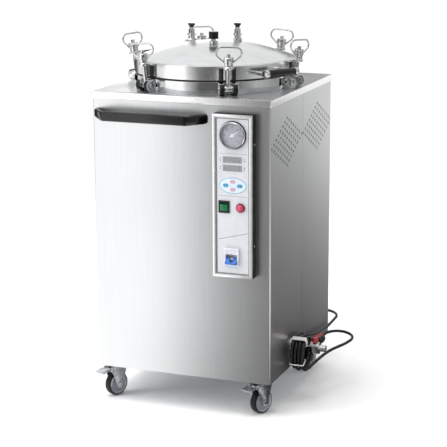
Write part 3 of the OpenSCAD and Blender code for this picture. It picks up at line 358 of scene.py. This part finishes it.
# Coil ties
# Two bands of white nylon webbing, a wide and a narrow one, hold the wound lead together. Each is closed
# round all the turns at one place of the coil.

# Woven nylon: an off-white that the weave breaks into ribs 3 mm apart, coarser than the real 0.5 mm to show.
strap_white, tree, shader = surface("nylon tie", Roughness=0.5)
spot = add(tree, "ShaderNodeTexCoord").outputs["Object"]
weave = add(tree, "ShaderNodeTexWave", {"Vector": spot, "Scale": 320.0})
tone = add(tree, "ShaderNodeValToRGB", {"Fac": weave.outputs["Fac"]}, [(0.2, "C9C8C6"), (0.8, "E9E8E6")])
tree.links.new(tone.outputs["Color"], shader.inputs["Base Color"])


def link_mesh(name, mesh):
    """Turns faces outwards, makes a bmesh an object, and lets it ride on the cabinet."""
    bmesh.ops.recalc_face_normals(mesh, faces=mesh.faces)
    data = bpy.data.meshes.new(name)
    mesh.to_mesh(data)
    piece = bpy.data.objects.new(name, data)
    bpy.context.collection.objects.link(piece)
    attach(piece, "cabinet")
    return piece


def close_rings(mesh, rings):
    """Faces between each ring of points and the next, and from the last back to the first."""
    for i, ring in enumerate(rings):
        after = rings[(i + 1) % len(rings)]
        for k in range(len(ring)):
            j = (k + 1) % len(ring)
            mesh.faces.new([ring[k], ring[j], after[j], after[k]])


# Metres from the outer turns' centres to the band, how nearly square its outline is, and its thickness as a
# share of its size.
tie_gap, tie_square, tie_swell, tie_points = 0.0052, 1.35, 1.06, 24


def tie_at(name, angle, wide):
    """A band of a width in millimetres round the wound lead, square to its turns at an angle."""
    a = radians(angle)
    outward = Vector((0, cos(a), sin(a)))
    along = Vector((0, -sin(a), cos(a)))
    centre = Vector((coil_x + coil_pitch * (coil_layers - 1) / 2, coil_y, coil_z)) / 1000 + ORIGIN
    centre += outward * (coil_r + coil_out_r) / 2000
    half_x = coil_pitch * (coil_layers - 1) / 2000 + tie_gap
    half_r = (coil_out_r - coil_r) / 2000 + tie_gap
    outline = []
    for k in range(tie_points):
        t = 2 * pi * k / tie_points
        outline.append((max(-1, min(1, tie_square * cos(t))) * half_x, max(-1, min(1, tie_square * sin(t))) * half_r))
    mesh = bmesh.new()
    rings = []
    for swell, w in ((1, -wide / 2000), (1, wide / 2000), (tie_swell, wide / 2000),
                     (tie_swell, -wide / 2000)):
        rings.append([mesh.verts.new(centre + Vector((x, 0, 0)) * swell + outward * r * swell + along * w)
                      for x, r in outline])
    close_rings(mesh, rings)
    settle(link_mesh(name, mesh), name, strap_white)


tie_at("lead_tie_wide", 118, 14.0)
tie_at("lead_tie_narrow", 205, 4.5)


# Casing
# Two U-shaped halves of 1 mm stainless sheet, folded and screwed to the tray, meet at a seam in the middle
# of each side. The sheet is belt-brushed with its grain upright.
def brushed(name, grain, light="CDCECF", dark="C3C4C5", rough=0.33):
    """Brushed stainless: a true metal whose fine scratches run one way. grain is scratches a metre on x, y, z."""
    made, tree, shader = surface(name, Metallic=1.0)
    spot = add(tree, "ShaderNodeTexCoord").outputs["Object"]
    along = add(tree, "ShaderNodeMapping", {"Vector": spot, "Scale": grain})
    lines = add(tree, "ShaderNodeTexNoise", {"Vector": along.outputs[0], "Scale": 1.0, "Detail": 4.0,
                                             "Roughness": 0.7})
    cloud = add(tree, "ShaderNodeTexNoise", {"Vector": spot, "Scale": 3.0, "Detail": 2.0})
    tone = add(tree, "ShaderNodeValToRGB", {"Fac": lines.outputs["Fac"]}, [(0.3, dark), (0.7, light)])
    tree.links.new(tone.outputs["Color"], shader.inputs["Base Color"])
    both = add(tree, "ShaderNodeMath", {0: lines.outputs["Fac"], 1: cloud.outputs["Fac"]}, operation="ADD")
    gloss = add(tree, "ShaderNodeMapRange", {"Value": both.outputs[0], "From Min": 0.6, "From Max": 1.4,
                                             "To Min": rough - 0.05, "To Max": rough + 0.05})
    tree.links.new(gloss.outputs[0], shader.inputs["Roughness"])
    relief = add(tree, "ShaderNodeBump", {"Strength": 0.06, "Distance": 0.0002, "Height": lines.outputs["Fac"]})
    tree.links.new(relief.outputs["Normal"], shader.inputs["Normal"])
    return made


def repaint(node, material):
    """Gives a CAD node a material in all its slots."""
    mesh = frame["nodes"][node].data
    mesh.materials.clear()
    mesh.materials.append(material)


# The brushing blurs reflections into soft upright bands. A belt leaves scratches some 0.1 mm apart, too fine
# to show, so they are drawn 1.1 mm apart and 170 mm long.
upright_grain = brushed("brushed stainless, grain upright", (900.0, 900.0, 6.0))
repaint("front_casing", upright_grain)
repaint("rear_casing", upright_grain)

# Deck
# The top cover is one stainless sheet, turned down all round to a short skirt, with a round hole for the
# vessel. Its top is brushed from side to side.

# The same brushing laid crosswise: it spreads reflections toward the front.
deck_grain = brushed("brushed stainless, grain crosswise", (6.0, 900.0, 900.0))
deck_sheet = softened("deck_folded", "deck", deck_grain, 0.0006)


def second(piece, material, test):
    """Gives the faces that pass a test of their centre and normal the piece's next material."""
    piece.data.materials.append(material)
    index = len(piece.data.materials) - 1
    for face in piece.data.polygons:
        if test(face.center, face.normal):
            face.material_index = index


# The skirt is coloured near white and made a little smoother: a painted highlight, which shows as a pale
# line over the brushed walls.
skirt_painted_highlight = brushed("painted highlight on the deck skirt", (900.0, 900.0, 6.0), "FAFAFA", "F2F2F3", 0.28)
second(deck_sheet, skirt_painted_highlight, lambda c, n: abs(n.z) < 0.4)

# Vent hole shade rings
# Each half of the casing has a diamond of 64 punched holes of 6 mm on each side. A dark ring round every
# hole, 1.3 mm wide and proud by 0.12 mm, is painted shade that widens the hole's dark. Values are in millimetres.
vent_d, vent_rows, vent_shade_width, vent_proud = 6.0, 8, 1.3, 0.12
vent_y, vent_margin, vent_step_z, vent_middle_z = 145.0, 8.5, 10.1, 819.0
vent_step_y = (vent_y - vent_margin) / (vent_rows - 1)
vent_sides = 16
casing_half = 280.0
hole_r, shade_ring_r = vent_d / 2, vent_d / 2 + vent_shade_width
# Painted shade round each hole: a dark, uneven metal against the bright wall.
hole_shade_metal = mottled("painted shade round a punched hole", 2.5, "3A3B3C", "4C4D4E", Metallic=1.0, Roughness=0.45)
mesh = bmesh.new()
for side in (-1, 1):
    for field in (-vent_y, vent_y):
        for u in range(vent_rows):
            for v in range(vent_rows):
                y = field + (u - v) * vent_step_y
                z = vent_middle_z + (u + v - vent_rows + 1) * vent_step_z
                rings = []
                for proud, r in ((0.0, shade_ring_r), (vent_proud, shade_ring_r), (vent_proud, hole_r), (0.0, hole_r)):
                    x = side * (casing_half + proud)
                    rings.append([mesh.verts.new(Vector((x, y + r * cos(2 * pi * k / vent_sides),
                                                         z + r * sin(2 * pi * k / vent_sides))) / 1000 + ORIGIN)
                                  for k in range(vent_sides)])
                close_rings(mesh, rings)
link_mesh("vent_shade_rings", mesh).data.materials.append(hole_shade_metal)

# Base tray
# A tray welded from steel sheet, with four plates for the casters. It closes the cabinet from below and
# carries both halves of the casing.

# Bright zinc plate: a slightly blue, clouded metal, with its gloss uneven in 8 mm patches.
zinc = mottled("bright zinc plate", 8.33, "B4B8BC", "D2D5D8", 3.0, rough=(0.18, 0.34), Metallic=1.0)
repaint("base_frame", zinc)

# Vessel, heater and basket
# A stainless vessel hangs from its forged ring through the deck. Inside are the tubular element in its
# dished bottom, the perforated grid over it, and a slotted lift-out basket.

# Satin spun stainless: rings of fine lines round the axis, which soften reflections to grey.
satin = brushed("satin stainless, spun", (40.0, 40.0, 900.0), "C6C7C8", "B2B3B4", 0.3)
for name in ("vessel", "basket_grid", "basket", "heater"):
    repaint(name, satin)


# Vessel ring and hinge pins
# The ring is forged in stainless with six pairs of lugs, turned, and mirror-polished. A pin through each
# pair of lugs carries a swing bolt. Radii are in metres from the vessel's axis.
def polished(name, dark="C2C3C4", light="D0D1D2", rough=0.07):
    """Mirror-polished stainless: sharp reflections, with the 33 mm clouds that a buffing wheel leaves."""
    return mottled(name, 33.3, dark, light, 3.0, (0.35, 0.65), (rough * 0.8, rough * 1.2), Metallic=1.0)


axis_low, axis_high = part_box("vessel")
axis = (Vector(axis_low) + Vector(axis_high)) / 2


def faces_out(c, n, inner, outer):
    """True for a face that looks straight out from the vessel, between two distances from its axis."""
    ray = Vector((c.x - axis.x, c.y - axis.y, 0))
    return inner < ray.length < outer and n.dot(ray.normalized()) > 0.6


# A mirror of the studio: white, grey and black by turns.
mirror = polished("mirror-polished stainless")
# The outward faces of the lugs are coloured a dull black: painted dark reflection and shade beside the bolts.
painted_black_reflection = mottled("painted black reflection on lugs and ears", 4.55, "070707", "141415", Roughness=0.4, Specular_IOR_Level=0.35)
lug_inner_r, lug_outer_r = 0.2475, 0.29
ring = softened("vessel_ring_polished", "vessel_ring", mirror, 0.0006)
second(ring, painted_black_reflection, lambda c, n: faces_out(c, n, lug_inner_r, lug_outer_r))
softened("closure_pins_polished", "closure_pins", mirror, 0.0005)

# Seal
# A moulded ring of silicone rubber lies in the vessel ring's groove and stands a little proud of it, where
# the lid presses it flat.

# Silicone: a matt black that dust clouds in 7 mm patches.
seal_rubber = mottled("black silicone rubber", 6.67, "0E0E0E", "1A1A1A", Roughness=0.55)
softened("seal", "seal_ring", seal_rubber, 0.0005)

# Lid
# A domed stainless lid, spun and welded into a turned ring. Six slotted ears and the brackets of the two
# grips are welded on the ring.

# The dome is buffed, not mirror-polished: it is bright and even, with soft reflections.
dome_polish = polished("buffed stainless dome", "DADBDC", "E0E1E2", 0.22)
softened("lid_polished", "lid", dome_polish, 0.0006)
ear_inner_r, ear_outer_r = 0.2465, 0.262
brackets = softened("lid_brackets_polished", "lid_brackets", mirror, 0.0005)
# The ears' outward faces get the same painted dark reflection and shade.
second(brackets, painted_black_reflection, lambda c, n: faces_out(c, n, ear_inner_r, ear_outer_r))

# Lid grips, valves and knobs
# Two bar grips on posts, a safety valve with its pull on each side of the middle, and a bleed valve with a
# knurled knob at the front. Grips, pulls and knob are moulded, and screwed on the metal.

# Phenolic resin: a glossy black with a faint swirl from the mould, 17 mm across.
phenolic = mottled("black phenolic moulding", 16.7, "080809", "111112", Roughness=0.2, Specular_IOR_Level=0.35)
softened("lid_grips_moulded", "lid_grips", phenolic, 0.004)
softened("lid_valves_polished", "lid_valves", mirror, 0.0005)
softened("valve_pull_left_knob", "valve_pull_left", phenolic, 0.0006)
softened("valve_pull_right_knob", "valve_pull_right", phenolic, 0.0006)
softened("bleed_knob_knurled", "bleed_knob", phenolic, 0.0005)

# Swing bolts and loop nuts
# Six forged eye bolts swing on the pins between the lugs and drop into the lid's ears. Each carries a round
# nut with a loop of bent rod welded on, to turn it by hand. All are mirror-polished.
for letter in "abcdef":
    softened("swing_bolt_polished_" + letter, "swing_bolt_" + letter, mirror, 0.0005)
    softened("loop_nut_polished_" + letter, "loop_nut_" + letter, mirror, 0.0005)

# Push handle
# A flat bar bent to a U and bolted across the front of the cabinet, under the deck. Its edges are ground
# round before it is painted.

# Gloss enamel: black with sharp highlights, slightly uneven in 6 mm patches as sprayed paint is.
black_paint = mottled("gloss black enamel", 5.56, "0A0A0B", "121213", Roughness=0.16, Specular_IOR_Level=0.4)
softened("push_bar", "push_handle", black_paint, 0.008)

# Panel case
# A box folded from sheet steel and coated black, screwed on the front. A bright anodised rim frames its
# opening, and screw heads show on its right side. Depths are in metres.

# Anodised aluminium: a pale metal with a hazy, even sheen.
bright_rim = mottled("bright anodised aluminium", 12.5, "E9EAEB", "F6F6F6", 3.0, rough=(0.28, 0.4), Metallic=1.0)
# Powder coat: a soft black whose 2 mm orange peel scatters the light.
panel_black = mottled("satin black powder coat", 2.0, "050505", "0D0D0E", Roughness=0.5, Specular_IOR_Level=0.25)
rim_depth, screw_proud = 0.004, 0.00095
case = softened("panel_case", "panel_box", panel_black, 0.0007)
case_low, case_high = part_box("panel_box")
second(case, bright_rim, lambda c, n: n.y < -0.3 and c.y < case_low[1] + rim_depth)
second(case, mirror, lambda c, n: c.x > case_high[0] - screw_proud)


# Panel fascia
# A plate covered with printed film: a dark line inside the rim, two grey rules that part the gauge, the
# display and the switches, a slanting line, and a short blue rule at the foot. Values are in millimetres.
def ink(name, dark, light):
    """Screen-printed ink: flat, and slightly mottled where it is thin, in dots 1.4 mm apart."""
    return mottled(name, 1.43, dark, light, Roughness=0.45)


cabinet_half_depth, panel_depth, fascia_recess = 290, 28, 3
face_y = -cabinet_half_depth - panel_depth + fascia_recess


def printed(name, material, shapes, lift=0.12, at_y=face_y):
    """Thin shapes on the fascia: each a list of (x, z) corners, raised by the ink's thickness."""
    mesh = bmesh.new()
    for corners in shapes:
        front = [mesh.verts.new(Vector((x, at_y - lift, z)) / 1000 + ORIGIN) for x, z in corners]
        rear = [mesh.verts.new(Vector((x, at_y, z)) / 1000 + ORIGIN) for x, z in corners]
        mesh.faces.new(front)
        mesh.faces.new(rear[::-1])
        for k in range(len(corners)):
            j = (k + 1) % len(corners)
            mesh.faces.new([front[k], rear[k], rear[j], front[j]])
    link_mesh(name, mesh).data.materials.append(material)


def strip(x0, z0, x1, z1):
    """The corners of a level rectangle."""
    return [(x0, z0), (x1, z0), (x1, z1), (x0, z1)]


# Polyester film: a cool white, smooth, with a soft gloss.
film = mottled("white printed film", 16.7, "C6C8CC", "CDCFD3", Roughness=0.3)
repaint("panel_fascia", film)
grey_ink = ink("grey screen ink", "8E9093", "A2A4A7")
dark_ink = ink("black screen ink", "2E2F31", "434446")
left, foot, end, top, line_w = 123.6, 449.4, 223.4, 908.6, 1.4
printed("fascia_border", dark_ink, [strip(left, foot, left + line_w, top), strip(end - line_w, foot, end, top),
                                    strip(left + line_w, foot, end - line_w, foot + line_w),
                                    strip(left + line_w, top - line_w, end - line_w, top)])
rule_left, rule_end, under_gauge, under_keypad = 129, 218, 805.2, 680.4
printed("fascia_rules", grey_ink, [strip(rule_left, z, rule_end, z + line_w) for z in (under_gauge, under_keypad)])
slant_left, slant_end, slant_w = (128.5, 549.7), (218.7, 572.9), 1.2
printed("fascia_slant", dark_ink, [[slant_left, slant_end, (slant_end[0], slant_end[1] + slant_w),
                                    (slant_left[0], slant_left[1] + slant_w)]])
printed("fascia_blue_rule", ink("pale blue screen ink", "8FB0DC", "A3C0E6"), [strip(153, 467, 190, 469.6)])


# Pressure gauge
# An 80 mm dial gauge, clamped in a round hole of the fascia: a turned case with a mirror-polished bezel, a
# dial with printed ticks and figures, a needle on its pin, and flat glass.
def oblong(cx, cz, rx, rz, count=40):
    """The corners of an oval."""
    return [(cx + rx * cos(2 * pi * k / count), cz + rz * sin(2 * pi * k / count)) for k in range(count)]


def hoop(cx, cz, rx, rz, width, start=0.0, sweep=2 * pi, count=48):
    """Quads that follow an oval line inwards of its radii."""
    made = []
    for k in range(count):
        a, b = start + sweep * k / count, start + sweep * (k + 1) / count
        made.append([(cx + (rx + w) * cos(t), cz + (rz + w) * sin(t))
                     for t, w in ((a, 0), (b, 0), (b, -width), (a, -width))])
    return made


gauge_x, gauge_z, dial_y = 174, 860, face_y - 3
dial_r, tick_r, figure_r, dark_ring_r, dark_ring_w = 35.2, 32, 22.5, 41.8, 1.9
dial_lift, print_lift, figure_height = 0.3, 0.45, 6.2
zero_angle, full_sweep = 225, 270
softened("gauge_case_turned", "gauge_case", mirror, 0.0005)
# Baked enamel: a flat, pale grey ground for the printing.
dial_enamel = ink("enamelled dial", "A2A4AD", "ACAEB7")
printed("gauge_dial", dial_enamel, [oblong(gauge_x, gauge_z, dial_r, dial_r, 72)], dial_lift, dial_y)
ticks = []
for k in range(31):
    a = radians(zero_angle - full_sweep / 30 * k)
    long, w = (5.0, 0.45) if k % 5 == 0 else (2.8, 0.25)
    ticks.append([(gauge_x + r * cos(a) - q * sin(a), gauge_z + r * sin(a) + q * cos(a))
                  for r, q in ((tick_r, -w), (tick_r, w), (tick_r - long, w), (tick_r - long, -w))])
ticks += hoop(gauge_x, gauge_z, tick_r + 0.4, tick_r + 0.4, 0.4, radians(zero_angle - full_sweep), radians(full_sweep))
printed("gauge_ticks", dark_ink, ticks, print_lift, dial_y)
figures = []
for k, word in enumerate(("0", "0.1", "0.2", "0.3", "0.4", "0.5", "0.6")):
    a = radians(zero_angle - full_sweep / 6 * k)
    spot = Vector((gauge_x + figure_r * cos(a), dial_y - print_lift, gauge_z + figure_r * sin(a)))
    bpy.ops.object.text_add(location=spot / 1000 + ORIGIN, rotation=(radians(90), 0, 0))
    figure = bpy.context.object
    figure.data.body = word
    figure.data.size = figure_height / 1000
    figure.data.align_x, figure.data.align_y = "CENTER", "CENTER"
    figure.data.extrude = 0.00005
    bpy.ops.object.convert(target="MESH")
    figures.append(bpy.context.object)
bpy.ops.object.select_all(action="DESELECT")
for figure in figures:
    figure.select_set(True)
bpy.context.view_layer.objects.active = figures[0]
bpy.ops.object.join()
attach(settle(bpy.context.object, "gauge_figures", dark_ink), "cabinet")
# A black ring round the case, in the seal's rubber material: painted dark reflection and shade at the case's edge.
printed("gauge_painted_dark_ring", seal_rubber, hoop(gauge_x, gauge_z, dark_ring_r, dark_ring_r, dark_ring_w, count=72), 0.8)
# White enamel on sheet brass: the brightest thing on the dial.
enamel = mottled("white enamelled needle", 5.0, "FAFAFA", "FFFFFF", Roughness=0.3)
softened("gauge_needle_bright", "gauge_needle", enamel, 0)
# Float glass: clear, seen only by its reflections.
clear = surface("clear flat glass", Roughness=0.02, Transmission_Weight=1.0, IOR=1.5, Alpha=0.18)[0]
repaint("gauge_glass", clear)

# Displays
# Two tinted acrylic windows behind the film, with four unlit figures of seven bars each. Small lamps show
# as dots at both ends of each window.

# Tinted acrylic: a smooth grey with sharp reflections.
window = mottled("tinted window", 3.33, "8A8B8D", "9C9DA0", Roughness=0.12)
repaint("display_windows", window)
unlit = ink("unlit segments", "5E5F61", "6C6D70")
window_z, window_proud, bar_w = (788, 763.5), 1.5, 1.4
first_x, figure_step, half_x, half_z = 152.5, 13.3, 3.6, 6
level_bar, upright_bar, lamp_r, lamp_x, lamp_z = 6.0, 4.4, 1.6, (135.5, 209.5), (3, -3)
segments = []
for z in window_z:
    for k in range(4):
        x = first_x + figure_step * k
        for dz in (-half_z, 0, half_z):
            segments.append(strip(x - level_bar / 2, z + dz - bar_w / 2, x + level_bar / 2, z + dz + bar_w / 2))
        for dx in (-half_x, half_x):
            for dz in (-half_z / 2, half_z / 2):
                segments.append(strip(x + dx - bar_w / 2, z + dz - upright_bar / 2,
                                      x + dx + bar_w / 2, z + dz + upright_bar / 2))
printed("display_figures", unlit, segments, 0.12, face_y - window_proud)
lamps = [oblong(x, z + dz, lamp_r, lamp_r, 16) for x in lamp_x for z in window_z for dz in lamp_z]
printed("display_lamps", dark_ink, lamps, 0.5)

# Keypad
# An oval membrane glued on the film, embossed with four keys. The side keys are printed blue, the upper
# and lower ones pink, each with a small pale arrow.
keypad_x, keypad_z, keypad_proud, key_proud = 174, 712.5, 1, 2.2
line_rx, line_rz, key_side = 41.4, 23.4, 0.012
# Printed polyester: a pale, cool blue with a soft sheen.
key_film = mottled("pale blue membrane", 11.1, "C4D4E0", "D0DEE8", Roughness=0.4)
key_blue = ink("blue key ink", "2A7C9E", "3E90AF")
key_pink = ink("pink key ink", "C48A9C", "D09DAD")
keys = softened("keypad_membrane", "keypad", key_film, 0)
key_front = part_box("keypad")[0][1] + 0.0005
middle = Vector((keypad_x, 0, keypad_z)) / 1000 + ORIGIN
second(keys, key_blue, lambda c, n: c.y < key_front and abs(c.x - middle.x) > key_side)
second(keys, key_pink, lambda c, n: c.y < key_front and abs(c.x - middle.x) <= key_side)
printed("keypad_line", ink("blue line ink", "5C86AD", "6E97BC"),
        hoop(keypad_x, keypad_z, line_rx, line_rz, 1.5), 0.12, face_y - keypad_proud)
arrows = [[(-22.8, 0), (-20.8, -1.2), (-20.8, 1.2)], [(22.8, 0), (20.8, 1.2), (20.8, -1.2)],
          [(0, 13.1), (-1.3, 10.9), (1.3, 10.9)], [(0, -13.1), (1.3, -10.9), (-1.3, -10.9)]]
printed("keypad_arrows", ink("white key ink", "C6D2DA", "D2DCE2"),
        [[(keypad_x + x, keypad_z + z) for x, z in arrow] for arrow in arrows], 0.12, face_y - key_proud)

# Rocker switch
# A lit rocker in a black frame that snaps into the fascia. Both are moulded, and the rocker tips on a pin
# in the frame.
repaint("switch_frame", moulded_black)
# Clear green polycarbonate over a dark body: a deep, glossy green.
green = mottled("clear green polycarbonate", 8.33, "075434", "0E7348", Roughness=0.2)
softened("rocker_green", "switch_rocker", green, 0.0006)

# Pilot lamp
# A neon lamp behind a domed lens, held by a nut from behind. Its bezel shows as a dark ring round the lens.
# The bezel's own ring stands 4 mm in front of the film.

# Clear red acrylic: a glossy pinkish red.
red = mottled("clear red acrylic", 8.33, "B83257", "D0577A", Roughness=0.2)
bezel_red = ink("dark red bezel", "5E1022", "6E182A")
lamp = softened("pilot_lamp_lens", "pilot_lamp", red, 0.0004)
pilot_x, pilot_z, bezel_r, bezel_w, bezel_proud = 197.5, 648, 13.3, 3.2, 4
bezel_front = face_y / 1000 + ORIGIN.y - 0.0042
second(lamp, bezel_red, lambda c, n: c.y > bezel_front)
printed("pilot_lamp_ring", bezel_red, hoop(pilot_x, pilot_z, bezel_r, bezel_r, bezel_w), 0.15, face_y - bezel_proud)

# Circuit breaker
# A two-pole breaker clipped in a window of the fascia. The case is pale plastic with a printed diagram, and
# its two blue levers are joined by a bar.
breaker_x, breaker_z, breaker_y, pole = 170.5, 520, face_y - 7, 10
# Urea moulding: a cool grey white, nearly matt.
pale = mottled("pale grey urea moulding", 11.1, "C8CBD1", "D2D5DA", Roughness=0.45)
softened("breaker_case", "breaker_body", pale, 0.0005)
# Moulded nylon: a strong blue with a soft sheen.
blue = mottled("blue moulded lever", 11.1, "1257AE", "1F6FC8", Roughness=0.35)
softened("breaker_toggle", "breaker_lever", blue, 0.0008)
diagram = [strip(breaker_x - 2 * pole, breaker_z, breaker_x + 2 * pole, breaker_z + 0.8),
           strip(breaker_x - 0.4, breaker_z - 11, breaker_x + 0.4, breaker_z)]
for x in (breaker_x - pole, breaker_x + pole):
    diagram += hoop(x, breaker_z - 5.2, 3.0, 3.0, 0.6)
printed("breaker_marks", grey_ink, diagram, 0.1, breaker_y)

# Casters
# Four swivel casters with 75 mm wheels, bolted under the tray: pressed steel forks, rubber tyres on nylon
# hubs, and a brake pedal on the front two. Radii are in metres from the wheel's centre.
hub_r, ring_inner_r, hub_half_width = 0.0292, 0.0272, 0.0125
swivelled = radians(-25)
axle = Vector((cos(swivelled), sin(swivelled), 0))
# Tread rubber: a dull black, dusted in 5 mm patches.
tyre_rubber = mottled("black tread rubber", 5.0, "08080A", "111114", Roughness=0.5, Specular_IOR_Level=0.3)
# Moulded nylon: a matt grey disc, and the wall of the ring at its rim coloured paler: painted light on that wall.
hub_grey = mottled("pale grey nylon hub", 6.67, "787C84", "8A8E96", Roughness=0.5)
lit_hub_ring = mottled("painted light on the hub ring", 6.67, "C6C9CE", "D6D9DD", Roughness=0.4)


def from_axle(offset):
    """A point's distance from the axle's line, by its offset from the wheel's centre."""
    return (offset - axle * offset.dot(axle)).length


for k in "1234":
    softened("caster_fork_plated_" + k, "caster_fork_" + k, zinc, 0.0005)
    wheel = softened("caster_wheel_moulded_" + k, "caster_wheel_" + k, tyre_rubber, 0.0004)
    low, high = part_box("caster_wheel_" + k)
    hub = (Vector(low) + Vector(high)) / 2
    second(wheel, hub_grey, lambda c, n: from_axle(c - hub) < hub_r and abs((c - hub).dot(axle)) < hub_half_width)
    # Painted light: the ring's faces round the hub take the paler copy of the nylon.
    second(wheel, lit_hub_ring, lambda c, n: ring_inner_r < from_axle(c - hub) < hub_r)
for k in "12":
    softened("brake_pedal_pressed_" + k, "brake_pedal_" + k, zinc, 0.0005)

# Drain valve
# A stub of pipe with a ball valve comes out low on the right side, through the wound lead. The valve's
# lever is dipped in vinyl.
softened("drain_valve_polished", "drain_valve", mirror, 0.0005)
# Dipped vinyl: a thick, soft red with a low sheen.
dipped = mottled("red dipped vinyl", 11.1, "8E1A24", "AE2A34", Roughness=0.4)
softened("drain_lever_dipped", "drain_lever", dipped, 0.0006)
